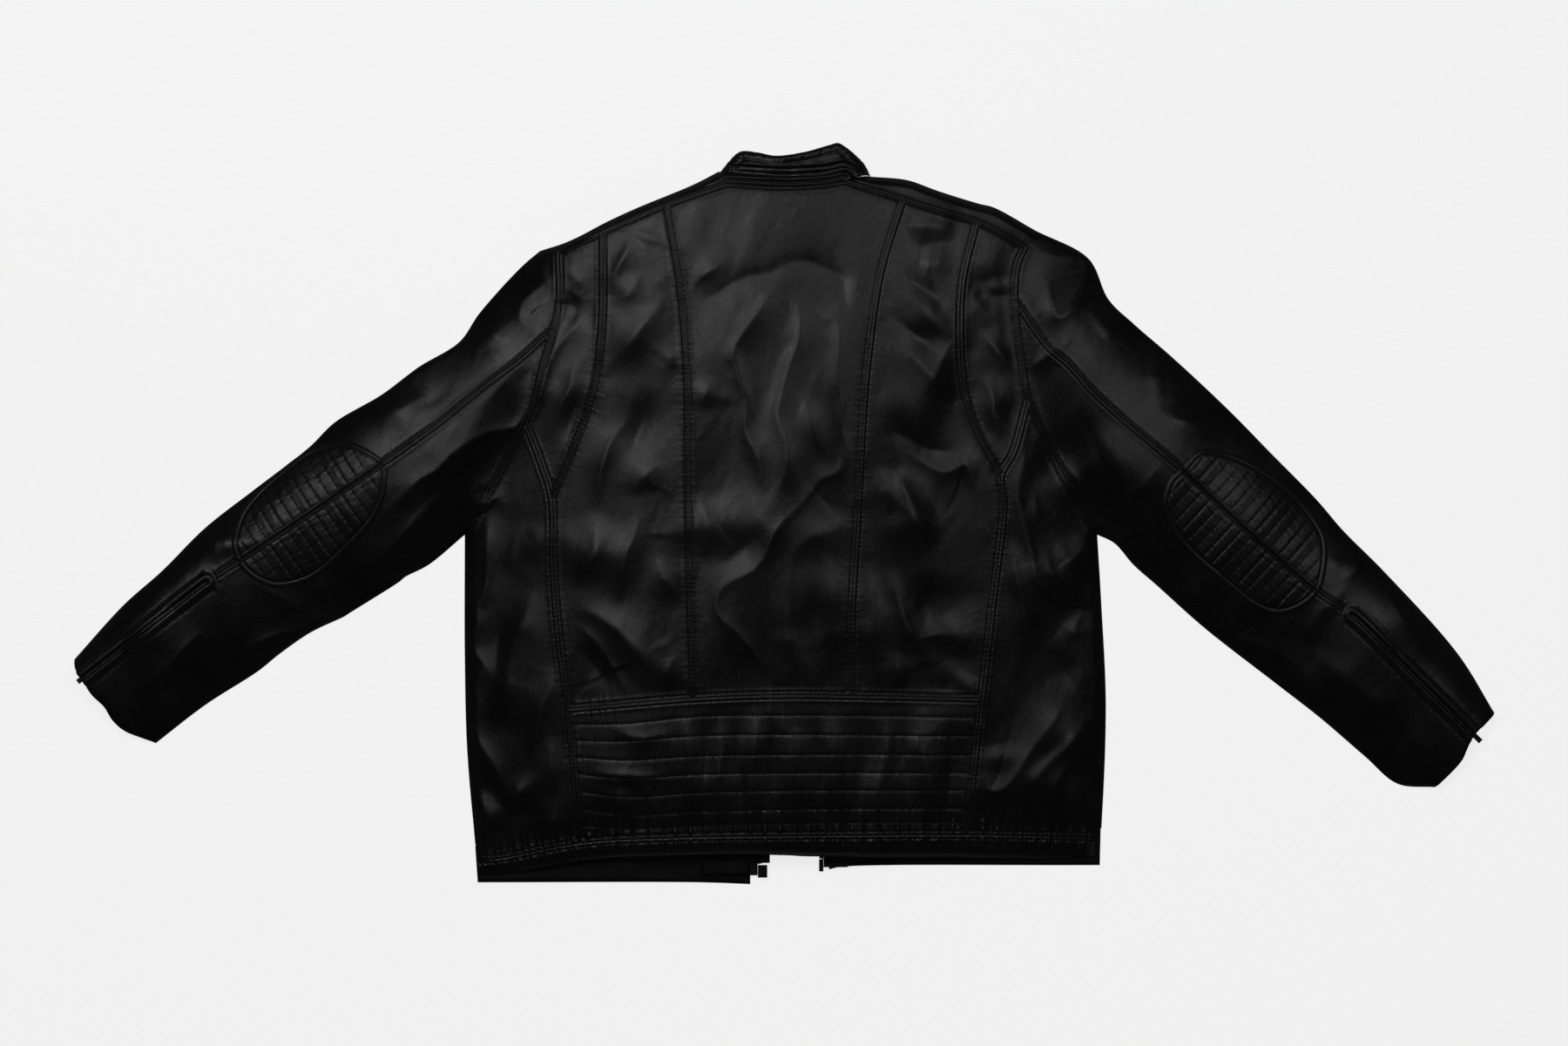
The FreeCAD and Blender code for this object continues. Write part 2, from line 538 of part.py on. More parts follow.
for label, (x, y), kind in (("collar_snap_socket", (-31.0, 306.0), "socket"),
                            ("collar_snap_stud", (43.0, 306.0), "stud")):
    disc = doc.addObject("Part::Cylinder", label + "_disc")
    bind(disc, "Radius", "snap_radius")
    bind(disc, "Height", "1.6")
    if kind == "socket":
        hole = doc.addObject("Part::Cylinder", label + "_hole")
        bind(hole, "Radius", "snap_socket_bore")
        bind(hole, "Height", "3")
        obj = doc.addObject("Part::Cut", label)
        obj.Base, obj.Tool = disc, hole
    else:
        post = doc.addObject("Part::Cylinder", label + "_post")
        bind(post, "Radius", "snap_post_radius")
        bind(post, "Height", "3.4")
        obj = doc.addObject("Part::Fuse", label)
        obj.Base, obj.Tool = disc, post
    obj.Label = label
    obj.Placement = FreeCAD.Placement(V(x, y, d("front_thick") + 0.05), FreeCAD.Rotation())
    node(label, obj)

# Hanging loop under the neck seam: a strap sewn down at both ends.
loop = flat_sketch("hanger_loop_profile", [(-28, 41.4), (-20, 41.4), (-15, 39.9), (15, 39.9), (20, 41.4),
                                           (28, 41.4), (28, 40.2), (20.4, 40.2), (15.4, 38.7),
                                           (-15.4, 38.7), (-20.4, 40.2), (-28, 40.2)])
loop.Placement = FreeCAD.Placement(V(0, 311, 0), FreeCAD.Rotation(V(1, 0, 0), 90))
strap = doc.addObject("Part::Extrusion", "hanger_loop")
strap.Base = loop
strap.DirMode = "Custom"
strap.Dir = V(0, -1, 0)
bind(strap, "LengthFwd", "6")
strap.Solid = True
strap.Label = "hanger_loop"
node("hanger_loop", strap)

# ---------------------------------------------------------------- pockets: where each zip runs
POCKETS = {"left": ((-172.0, -140.0), (0.34, 0.94)), "right": ((180.0, -140.0), (-0.34, 0.94))}


def frame(centre, along, z, flip):
    """Local frame of a zip: x along it, z on its outer side (down when flip is set)."""
    n = math.hypot(along[0], along[1])
    x = V(along[0] / n, along[1] / n, 0)
    zz = V(0, 0, -1 if flip else 1)
    y = zz.cross(x)
    m = FreeCAD.Matrix(x.x, y.x, zz.x, centre[0], x.y, y.y, zz.y, centre[1], x.z, y.z, zz.z, z, 0, 0, 0, 1)
    return FreeCAD.Placement(m)


def slot(centre, along, half_length, half_width):
    f = frame(centre, along, 0, False)
    pts = [f.multVec(V(a, b, 0)) for a, b in ((-half_length, -half_width), (half_length, -half_width),
                                              (half_length, half_width), (-half_length, half_width))]
    return [(p.x, p.y) for p in pts]


# ---------------------------------------------------------------- front
for side in ("left", "right"):
    n = "front_%s_panel" % side
    centre, along = POCKETS[side]
    node(n, plate(n, [inset(PANELS[n], GAP), slot(centre, along, 76.0, 7.0)], 0.0, "front_thick"))
node("front_hem_bands", compound("front_hem_bands", [
    plate("front_left_hem", [inset(PANELS["front_left_hem"], GAP)], 0.0, "front_thick"),
    plate("front_right_hem", [inset(PANELS["front_right_hem"], GAP)], 0.0, "front_thick")]))
node("front_linings", compound("front_linings", [
    plate("front_left_lining", [PANELS["front_left_lining"]], 7.1, "lining_thick"),
    plate("front_right_lining", [PANELS["front_right_lining"]], 7.1, "lining_thick")]))

LEFT_EDGE, RIGHT_EDGE = -33.3, 44.4


def rect(x0, y0, x1, y1):
    return [(x0, y0), (x1, y0), (x1, y1), (x0, y1)]


node("front_facings", compound("front_facings", [
    plate("left_placket", [rect(LEFT_EDGE - 48, -355, LEFT_EDGE, 252)], 2.5, "placket_thick"),
    plate("left_facing", [rect(LEFT_EDGE - 48, -355, LEFT_EDGE, 252)], 5.4, "facing_thick"),
    plate("right_placket", [rect(RIGHT_EDGE, -341, RIGHT_EDGE + 48, 252)], 2.5, "placket_thick"),
    plate("right_facing", [rect(RIGHT_EDGE, -341, RIGHT_EDGE + 48, 252)], 5.4, "facing_thick")]))

# ---------------------------------------------------------------- main zip, parted
ZIP_LOW = {"left": -343.0, "right": -338.0}
LEFT_CORD, RIGHT_CORD = -24.4, 37.4
tapes, combs = [], []
for side, cord, way in (("left", LEFT_CORD, -1), ("right", RIGHT_CORD, 1)):
    low = ZIP_LOW[side]
    back = cord + way * d("cord_width")
    a, b = sorted((back + way * 0.1, back + way * 24.0))
    tapes.append(plate("%s_zip_tape" % side, [rect(a, low - 12, b, low + d("zip_length") + 4)], 4.3, "tape_thick"))
    pts = [(back, low), (back, low + d("zip_length"))]
    count = int(d("zip_length") // d("tooth_pitch"))
    y = low + count * d("tooth_pitch")
    tip = cord - way * d("tooth_reach")
    pts.append((cord, low + d("zip_length")))
    for k in range(count - 1, -1, -1):
        y1 = low + k * d("tooth_pitch") + 0.6 + d("tooth_width")
        y0 = y1 - d("tooth_width")
        pts += [(cord, y1), (tip, y1 - 0.25), (tip, y0 + 0.25), (cord, y0)]
    pts.append((cord, low))
    comb = flat_sketch("%s_comb_outline" % side, pts)
    comb.Placement = FreeCAD.Placement(V(0, 0, 2.9), FreeCAD.Rotation())
    teeth = doc.addObject("Part::Extrusion", "%s_zip_comb" % side)
    teeth.Base = comb
    teeth.DirMode = "Custom"
    teeth.Dir = V(0, 0, 1)
    bind(teeth, "LengthFwd", "tooth_height")
    teeth.Solid = True
    combs.append(teeth)
node("main_zip_tapes", compound("main_zip_tapes", tapes))
node("main_zip_teeth", compound("main_zip_teeth", combs))
top_y = ZIP_LOW["left"] + d("zip_length")
node("main_zip_fittings", compound("main_zip_fittings", [
    plate("retainer_box", [rect(LEFT_CORD - 1.3, -356, LEFT_CORD + 8, -344)], 2.4, "4.6"),
    plate("insertion_pin", [rect(RIGHT_CORD - 3, -350, RIGHT_CORD + 1.3, -338.2)], 3.2, "3"),
    plate("left_top_stop", [rect(LEFT_CORD - 1.2, top_y + 0.2, LEFT_CORD + 3, top_y + 3.4)], 2.9, "tooth_height"),
    plate("right_top_stop", [rect(RIGHT_CORD - 3, top_y + 5.2, RIGHT_CORD + 1.2, top_y + 8.4)], 2.9,
          "tooth_height")]))


# ---------------------------------------------------------------- sliders and pullers
def box(label, x, y, z):
    """Box given by the expressions of its low corner and its size along each axis."""
    b = doc.addObject("Part::Box", label)
    for prop, pos, (low, size) in (("Length", "x", x), ("Width", "y", y), ("Height", "z", z)):
        bind(b, prop, size)
        bind(b, "Placement.Base." + pos, low)
    return b


def rod(label, radius, length, x, z):
    """Cylinder along y, centred on y = 0."""
    c = doc.addObject("Part::Cylinder", label)
    bind(c, "Radius", radius)
    bind(c, "Height", length)
    c.Placement = FreeCAD.Placement(V(0, 0, 0), FreeCAD.Rotation(V(1, 0, 0), -90))
    bind(c, "Placement.Base.x", x)
    bind(c, "Placement.Base.y", "-(%s) / 2" % length)
    bind(c, "Placement.Base.z", z)
    return c


def zip_slider(name, placement, p, chain, eye_height):
    """Two plates over and under the chain, joined by a post, with two cheeks that hold the
    puller's pin.  Local frame: z = 0 is the outer face of the outer plate, outward is +z, the
    cheeks are at the -x end.  chain is the clear height between the plates."""
    prefix = "main_" if p else ""
    length, width = prefix + "slider_length", prefix + "slider_width"
    thick, post = prefix + "plate_thick", prefix + "post_width"
    outer = box(name + "_outer_plate", ("-%s / 2" % length, length), ("-%s / 2" % width, width),
                ("-%s" % thick, thick))
    inner = box(name + "_inner_plate", ("-%s / 2" % length, length), ("-%s / 2" % width, width),
                ("-2 * %s - %s" % (thick, chain), thick))
    stem = box(name + "_post", ("%s / 2 - 3.5" % length, "3"), ("-%s / 2" % post, post),
               ("-1.5 * %s - %s" % (thick, chain), "%s + %s" % (chain, thick)))
    cheek = "1.0"
    inside = "1.75"
    lx = "-%s / 2 - 2.2" % length
    parts = [outer, inner, stem]
    for k, low in enumerate(("-%s - %s" % (inside, cheek), inside)):
        parts.append(box("%s_cheek_%d" % (name, k), (lx, "2.7"), (low, cheek),
                         ("-%s" % thick, "%s + %s + 0.9" % (thick, eye_height))))
    parts.append(rod(name + "_pin", "pin_radius", "2 * %s + %s" % (inside, cheek), "-%s / 2 - 1.2" % length, eye_height))
    fused = doc.addObject("Part::MultiFuse", name)
    fused.Shapes = parts
    fused.Label = name
    fused.Placement = placement
    return node(name, fused)


def zip_puller(name, placement, p, eye_height):
    """Flat tab with a round eye on the slider's pin, pointing along -x."""
    prefix = "main_" if p else ""
    length, width, thick = (prefix + "puller_" + k for k in ("length", "width", "thick"))
    sl = prefix + "slider_length"
    axis = "(-%s / 2 - 1.2)" % sl
    eye = rod(name + "_eye", "eye_radius", "3.1", axis, eye_height)
    neck = box(name + "_neck", ("%s - 4" % axis, "4"), ("-1.55", "3.1"), ("%s - %s / 2" % (eye_height, thick), thick))
    tab = box(name + "_tab", ("%s - %s" % (axis, length), "%s - 3" % length), ("-%s / 2" % width, width),
              ("%s - %s / 2" % (eye_height, thick), thick))
    body = doc.addObject("Part::MultiFuse", name + "_body")
    body.Shapes = [eye, neck, tab]
    bore = rod(name + "_bore", "eye_bore", "8", axis, eye_height)
    cut = doc.addObject("Part::Cut", name)
    cut.Base, cut.Tool = body, bore
    cut.Label = name
    cut.Placement = placement
    return node(name, cut)


# Main slider: on the left chain at the hem, outer side down, cheeks toward the collar.
main = frame((-19.9, -335.0), (0, -1), 1.5, True)
zip_slider("main_zip_slider", main, True, "4.1", "0.3")
zip_puller("main_zip_puller", main, True, "0.3")


def coil_chain(label, placement, length, z_coil, z_tape, reach):
    """Two coils side by side with their tapes, the chain of a short zip."""
    parts = []
    for k, sign in enumerate((-1, 1)):
        low = "coil_gap / 2" if sign > 0 else "-coil_gap / 2 - coil_width"
        parts.append(box("%s_coil_%d" % (label, k), ("0", "%g" % length), (low, "coil_width"),
                         ("%g" % z_coil, "coil_height")))
        low = "coil_gap / 2 + coil_width + 0.05" if sign > 0 else "-coil_gap / 2 - coil_width - 0.05 - %g" % reach
        parts.append(box("%s_tape_%d" % (label, k), ("0", "%g" % length), (low, "%g" % reach),
                         ("%g" % z_tape, "coil_tape_thick")))
    group = doc.addObject("Part::Compound", label)
    group.Links = parts
    group.Placement = placement
    return group


chains, bags = [], []
for side in ("left", "right"):
    centre, along = POCKETS[side]
    base = frame(centre, along, 0.0, True)
    start = base.multVec(V(-75.0, 0, 0))
    chains.append(coil_chain(side + "_pocket_chain", frame((start.x, start.y), along, 0.0, True),
                             150.0, -4.8, -3.9, 9.0))
    at = base.multVec(V(62.0, 0, 0))
    place = frame((at.x, at.y), along, 1.65, True)
    zip_slider(side + "_pocket_slider", place, False, "2.55", "0.3")
    zip_puller(side + "_pocket_puller", place, False, "0.3")
    s = -1 if side == "left" else 1
    x0 = centre[0]
    outline = [(x0 - s * 62, -45), (x0 + s * 45, -60), (x0 + s * 52, -230), (x0 - s * 30, -262), (x0 - s * 66, -225)]
    bags.append(plate(side + "_pocket_bag", [outline], 6.0, "bag_thick"))
node("pocket_zip_chains", compound("pocket_zip_chains", chains))
node("pocket_bags", compound("pocket_bags", bags))

# Cuff zips: each runs along its sleeve's back seam to the edge of the cuff.
CUFFS = {"left": ((-563.5, -65.5), (-670.6, -148.8)), "right": ((554.2, -97.8), (663.0, -204.8))}
for side in ("left", "right"):
    (x0, y0), (x1, y1) = CUFFS[side]
    along = (x0 - x1, y0 - y1)
    length = math.hypot(along[0], along[1])
    base = frame((x1, y1), along, 0.0, False)
    start = base.multVec(V(-2.0, 0, 0))
    n = side + "_cuff_zip_chain"
    node(n, coil_chain(n, frame((start.x, start.y), along, 0.0, False), length - 1.0, 17.9, 18.4, 5.2))
    NODES[n].Label = n
    at = base.multVec(V(5.0, 0, 0))
    place = frame((at.x, at.y), along, 21.2, False)
    zip_slider(side + "_cuff_zip_slider", place, False, "2.7", "0.5")
    zip_puller(side + "_cuff_zip_puller", place, False, "0.5")

# ---------------------------------------------------------------- build and check
doc.recompute()
bad = [o.Name for o in doc.Objects if "Invalid" in o.State or "Error" in o.State]
if bad:
    raise SystemExit("failed objects: " + ", ".join(bad))
for name, obj in NODES.items():
    if obj.Shape.isNull() or not obj.Shape.isValid() or obj.Shape.Volume <= 0:
        raise SystemExit("bad shape: " + name)

os.makedirs("parts", exist_ok=True)
for name, obj in NODES.items():
    obj.Shape.exportStep("parts/%s.step" % name)
    b = obj.Shape.BoundBox
    print("%-26s solids %d  vol %9.1f  x %7.1f %7.1f  y %7.1f %7.1f  z %5.2f %5.2f" % (
        name, len(obj.Shape.Solids), obj.Shape.Volume, b.XMin, b.XMax, b.YMin, b.YMax, b.ZMin, b.ZMax))
print(len(NODES), "nodes")
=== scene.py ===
"""Leather riding jacket lying face down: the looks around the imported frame.

Works in millimetres until a mesh is made. The whole upper layer is one height field: a base
shape, folds, and the profile of every seam; each panel is a closed solid cut from it.
"""
import math

import bpy
import numpy as np
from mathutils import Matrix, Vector
from mathutils.geometry import delaunay_2d_cdt


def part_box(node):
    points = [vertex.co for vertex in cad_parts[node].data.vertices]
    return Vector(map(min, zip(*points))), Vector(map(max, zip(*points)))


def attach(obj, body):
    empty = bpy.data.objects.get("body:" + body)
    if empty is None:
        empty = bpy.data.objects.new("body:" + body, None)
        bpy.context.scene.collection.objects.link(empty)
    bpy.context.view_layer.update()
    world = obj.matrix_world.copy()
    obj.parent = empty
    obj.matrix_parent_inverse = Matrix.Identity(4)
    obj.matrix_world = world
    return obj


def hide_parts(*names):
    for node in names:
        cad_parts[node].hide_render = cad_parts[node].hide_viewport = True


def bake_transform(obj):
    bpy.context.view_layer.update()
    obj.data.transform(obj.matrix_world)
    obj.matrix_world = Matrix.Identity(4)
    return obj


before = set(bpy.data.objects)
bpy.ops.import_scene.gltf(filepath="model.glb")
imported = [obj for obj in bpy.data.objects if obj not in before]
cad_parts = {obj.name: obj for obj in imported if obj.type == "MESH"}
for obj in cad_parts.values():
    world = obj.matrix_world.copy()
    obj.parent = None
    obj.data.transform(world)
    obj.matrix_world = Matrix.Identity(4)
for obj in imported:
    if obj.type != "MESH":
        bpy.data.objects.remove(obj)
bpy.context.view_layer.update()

# Seam and edge lines through their control points, in millimetres.
CURVES = {
    'YL': [
        (-220.2, 255.8), (-176.8, 274.6), (-165.8, 279.6), (-114.8, 300.9), (-55.2, 321.3)],
    'YR': [
        (57.8, 323.8), (115.6, 306), (187.8, 284.8), (194.7, 282.2), (235.4, 260.9)],
    'N': [
        (-55.2, 321.3), (-42.5, 320.4), (0, 317.9), (42.5, 320.4), (57.8, 323.8)],
    'PL': [
        (-114.8, 300.9), (-101.1, 221), (-94.3, 134.3), (-93.5, 46.8), (-91, -90.1),
        (-88.4, -178.5)],
    'PR': [
        (115.6, 306), (94.3, 236.3), (82.5, 158.9), (77.3, 102), (71.4, -7.6), (66.3, -92.6),
        (65.5, -175.9)],
    'CL': [
        (-176.8, 274.6), (-177.7, 183.6), (-185.3, 121.5), (-205.7, 64.6), (-226.9, 16.1)],
    'CR': [
        (187.8, 284.8), (174.2, 228.7), (171.7, 183.6), (174.2, 134.3), (184.4, 89.2),
        (211.7, 37.4)],
    'AL': [
        (-220.2, 255.8), (-219.3, 209.1), (-224.4, 181.9), (-232.9, 153.8), (-245.7, 104.5),
        (-252.4, 89.2), (-278.8, 39.1), (-313.6, -19.6)],
    'AR': [
        (235.4, 260.9), (227.8, 243.9), (225.2, 209.1), (232, 151.3), (238.8, 113),
        (256.7, 71.4), (282.2, 22.1), (307.7, -19.6)],
    'SL': [
        (-252.4, 89.2), (-238, 51.9), (-226.9, 16.1), (-225.2, -52.7), (-220.2, -115.6),
        (-210.8, -189.5), (-204, -260.1), (-198.9, -320.4)],
    'SR': [
        (238.8, 113), (224.4, 62), (211.7, 37.4), (214.2, 9.3), (203.2, -90.1), (192.9, -179.3),
        (184.4, -252.4), (176.8, -311.9)],
    'W': [
        (-210.8, -189.5), (-88.4, -178.5), (0, -175.1), (65.5, -175.9), (192.9, -179.3)],
    'H': [
        (-301.8, -339.1), (-277.9, -336.6), (-198.9, -320.4), (-115.6, -314.5), (0, -311.9),
        (176.8, -311.9), (299.2, -317.1), (310.2, -318.8)],
    'HB': [
        (-300.9, -354.4), (-255, -350.2), (-187, -339.1), (-115.6, -334.9), (-21.2, -332.3),
        (28.9, -334.1), (170, -335.8), (310.2, -339.1)],
    'EL': [
        (-313.6, -19.6), (-313.6, -140.2), (-311.1, -234.6), (-301.8, -339.1)],
    'ER': [
        (307.7, -19.6), (311.9, -90.1), (316.2, -185.3), (312.8, -289.8), (310.2, -318.8)],
    'TL': [
        (-239.7, 259.2), (-211.7, 268.6), (-171.7, 289), (-143.7, 301.8), (-88.4, 324.7),
        (-63.8, 337.4)],
    'TR': [
        (85, 332.3), (120.7, 328.9), (152.2, 317.9), (190.4, 306), (206.5, 301.8), (246.5, 279.6)],
    'LU': [
        (-239.7, 259.2), (-257.6, 243.9), (-299.2, 198), (-318.8, 170), (-358.7, 145.3),
        (-395.2, 118.1), (-441.1, 91), (-466.6, 66.3), (-519.4, 25.5), (-568.6, -12.8),
        (-611.1, -55.2), (-648.5, -88.4), (-697, -141.9)],
    'LL': [
        (-313.6, -19.6), (-349.3, -49.3), (-372.3, -61.2), (-377.4, -65.5), (-425.8, -96),
        (-432.6, -100.3), (-464.9, -115.6), (-495.6, -136.8), (-516.8, -153.8), (-568.6, -187),
        (-617.1, -224.4)],
    'LC': [
        (-697, -141.9), (-692.8, -153.8), (-686.8, -161.5), (-677.4, -176.8), (-665.5, -188.7),
        (-657.9, -202.3), (-646.9, -212.5), (-617.1, -224.4)],
    'LS': [
        (-224.4, 181.9), (-257.6, 151.3), (-290.7, 126.6), (-317.9, 104.5), (-327.8, 96.5),
        (-340, 86.7), (-390.1, 51), (-435.3, 20), (-463.2, 0.8), (-490, -17), (-539.8, -50.1),
        (-563.5, -65.5), (-617.1, -107.1), (-670.6, -148.8), (-686.8, -161.5)],
    'RU': [
        (246.5, 279.6), (299.2, 251.6), (318.8, 211.7), (344.2, 187), (382.5, 153.8),
        (436.9, 102.8), (477.7, 61.2), (523.6, 14.4), (549.1, -15.3), (589, -55.2),
        (662.1, -136.8), (697.9, -194.7)],
    'RL': [
        (307.7, -19.6), (324.7, -28.1), (343.4, -49.3), (365.5, -68.8), (413.1, -111.3),
        (485.3, -167.4), (527.9, -200.6), (570.4, -237.2), (602.6, -264.3), (639.2, -267.8)],
    'RC': [
        (697.9, -194.7), (678.3, -212.5), (674, -216.8), (668.1, -228.7), (663, -240.5),
        (639.2, -267.8)],
    'RS': [
        (225.2, 209.1), (256.7, 164), (277.1, 146.2), (299.2, 121.5), (331.5, 91.8),
        (353.7, 73.1), (363.8, 64.6), (386.8, 45), (429.3, 5.2), (453.9, -17.8), (477.4, -38.1),
        (521.9, -76.5), (554.2, -97.8), (608.6, -151.3), (663, -204.8), (674, -216.8)],
    'KB': [
        (57.8, 323.8), (85, 332.3)],
    'KT': [
        (-63.8, 335.8), (-43.4, 355.3), (-25.5, 354.4), (-8.5, 351.1), (18.7, 354.4),
        (42.5, 361.2), (52.7, 363.8), (61.2, 359.6), (79.9, 342.6), (85, 332.3)],
    'KL': [
        (-63.8, 335.8), (-62.9, 328.1), (-55.2, 321.3)],
    'FNL': [
        (-57.8, 326.4), (-52.7, 302.6), (-33.1, 279.6)],
    'FLZ': [
        (-33.1, 279.6), (-33.1, -323.8)],
    'FLH': [
        (-33.1, -323.8), (-303.4, -323.8)],
    'FNR': [
        (44.2, 279.6), (63.8, 302.6), (71.4, 328.9)],
    'FRH': [
        (311.9, -307.7), (44.2, -307.7)],
    'HFL1': [
        (-303.4, -325.6), (-33.1, -325.6)],
    'HFL2': [
        (-33.1, -325.6), (-33.1, -362.9)],
    'HFL3': [
        (-33.1, -362.9), (-85, -361.2), (-300.9, -361.2)],
    'HFR1': [
        (44.2, -309.4), (311.1, -309.4)],
    'HFR2': [
        (311.1, -309.4), (310.2, -344.2)],
    'HFR3': [
        (310.2, -344.2), (56.9, -345.9), (44.2, -348.5)],
    'CFL1': [
        (-57.8, 326.4), (-52.7, 302.6), (-33.1, 279.6)],
    'CFL2': [
        (-10.2, 296.6), (-18.7, 322.1), (-40.8, 347.6)],
    'CFR1': [
        (71.4, 328.9), (63.8, 302.6), (44.2, 279.6)],
    'CFR2': [
        (22.1, 296.6), (30.6, 322.1), (52.7, 347.6)],
    'BL1': [
        (-204, 247.3), (-110.5, 285.6), (-51, 305.1), (0, 303.4), (55.2, 306.8), (115.6, 289.8),
        (212.5, 247.3), (219.3, 209.1), (225.2, 151.3), (212.5, 115.6), (187, 26.3)],
    'BL2': [
        (246.5, -7.6), (246.5, -305.1)],
    'BL3': [
        (-238, -305.1), (-246.5, -7.6)],
    'BL4': [
        (-246.5, -7.6), (-221, 13.6), (-204, 94.3), (-197.2, 153.8)],
}
PATCHES = {
    'left': [
        (-390.1, 51), (-410.6, 66.3), (-431.8, 72.2), (-462.4, 66.3), (-483.6, 52.7),
        (-516.8, 23.8), (-533.8, 0), (-538.9, -30.6), (-532.1, -49.3), (-516.8, -63.8),
        (-495.6, -71.4), (-462.4, -63.8), (-425.8, -34), (-398.6, -3.4), (-387.6, 23.8)],
    'right': [
        (386.8, 45), (407.1, 63.8), (436.9, 60.4), (467.5, 46.8), (498.1, 23.8), (519.4, 0),
        (531.2, -24.6), (527.9, -61.2), (521.9, -76.5), (504.1, -91.8), (482.8, -97.8),
        (461.6, -91.8), (425, -63.8), (391.8, -34), (373.1, -6.8), (368.9, 11.9), (376.6, 35.7)],
}
# Each panel's outline as stretches of those lines.
LOOPS = {
    'back_centre_panel': [('YL', 3, 4), ('N', 0, 4), ('YR', 0, 1), ('PR', 0, 6), ('W', 3, 1), ('PL', 5, 0)],
    'back_left_panel': [('YL', 1, 3), ('PL', 0, 5), ('W', 1, 0), ('SL', 5, 2), ('CL', 4, 0)],
    'back_right_panel': [('YR', 1, 2), ('CR', 0, 5), ('SR', 2, 5), ('W', 4, 3), ('PR', 6, 0)],
    'back_left_armhole_panel': [('YL', 0, 1), ('CL', 0, 4), ('SL', 2, 0), ('AL', 5, 0)],
    'back_right_armhole_panel': [('YR', 2, 4), ('AR', 0, 4), ('SR', 0, 2), ('CR', 5, 0)],
    'left_side_panel': [('SL', 0, 7), ('H', 2, 0), ('EL', 3, 0), ('AL', 7, 5)],
    'right_side_panel': [('AR', 4, 7), ('ER', 0, 4), ('H', 7, 5), ('SR', 7, 0)],
    'waist_quilted_panel': [('W', 0, 4), ('SR', 5, 7), ('H', 5, 2), ('SL', 7, 5)],
    'back_hem_band': [('H', 0, 7), ('HB', 7, 0)],
    'left_shoulder_yoke': [('TL', 0, 5), ('KL', 0, 2), ('YL', 4, 0)],
    'right_shoulder_yoke': [('YR', 4, 0), ('KB', 0, 1), ('TR', 0, 5)],
    'collar_band': [('KL', 2, 0), ('KT', 0, 9), ('KB', 1, 0), ('N', 4, 0)],
    'left_sleeve_crown': [('LU', 0, 2), ('LS', 4, 4), ('LL', 2, 0), ('AL', 7, 0)],
    'left_sleeve_outer_panel': [('LU', 2, 7), ('LS', 7, 4)],
    'left_sleeve_inner_panel': [('LS', 4, 7), ('LL', 3, 2)],
    'left_elbow_zone': [('LU', 7, 8), ('LS', 9, 9), ('LL', 5, 3), ('LS', 7, 7)],
    'left_forearm_outer_panel': [('LU', 8, 12), ('LC', 0, 2), ('LS', 14, 9)],
    'left_forearm_inner_panel': [('LS', 9, 14), ('LC', 2, 7), ('LL', 10, 5)],
    'right_sleeve_crown': [('RU', 0, 3), ('RS', 5, 5), ('RL', 3, 0), ('AR', 7, 0)],
    'right_sleeve_outer_panel': [('RU', 3, 6), ('RS', 8, 5)],
    'right_sleeve_inner_panel': [('RS', 5, 8), ('RL', 3, 3)],
    'right_elbow_zone': [('RU', 6, 7), ('RS', 10, 10), ('RL', 4, 3), ('RS', 8, 8)],
    'right_forearm_outer_panel': [('RU', 7, 11), ('RC', 0, 2), ('RS', 15, 10)],
    'right_forearm_inner_panel': [('RS', 10, 15), ('RC', 2, 5), ('RL', 9, 4)],
}
UNDER = {
    'front_left_panel': [('TL', 0, 5), ('FNL', 0, 2), ('FLZ', 0, 1), ('FLH', 0, 1), ('EL', 2, 0), ('AL', 7, 0)],
    'front_right_panel': [('FNR', 0, 2), ('TR', 0, 5), ('AR', 0, 7), ('ER', 0, 3), ('FRH', 0, 1)],
    'left_front_hem': [('HFL1', 0, 1), ('HFL2', 0, 1), ('HFL3', 0, 2)],
    'right_front_hem': [('HFR1', 0, 1), ('HFR2', 0, 1), ('HFR3', 0, 2)],
    'collar_left_front': [('CFL1', 0, 2), ('CFL2', 0, 2)],
    'collar_right_front': [('CFR1', 0, 2), ('CFR2', 0, 2)],
    'left_crown_under': [('LU', 0, 2), ('LL', 2, 0), ('AL', 7, 0)],
    'left_sleeve_front_panel': [('LU', 2, 7), ('LL', 3, 2)],
    'left_elbow_under': [('LU', 7, 8), ('LL', 5, 3)],
    'left_forearm_front_panel': [('LU', 8, 12), ('LC', 0, 7), ('LL', 10, 5)],
    'right_crown_under': [('RU', 0, 3), ('RL', 3, 0), ('AR', 7, 0)],
    'right_sleeve_front_panel': [('RU', 3, 6), ('RL', 3, 3)],
    'right_elbow_under': [('RU', 6, 7), ('RL', 4, 3)],
    'right_forearm_front_panel': [('RU', 7, 11), ('RC', 0, 5), ('RL', 9, 4)],
}
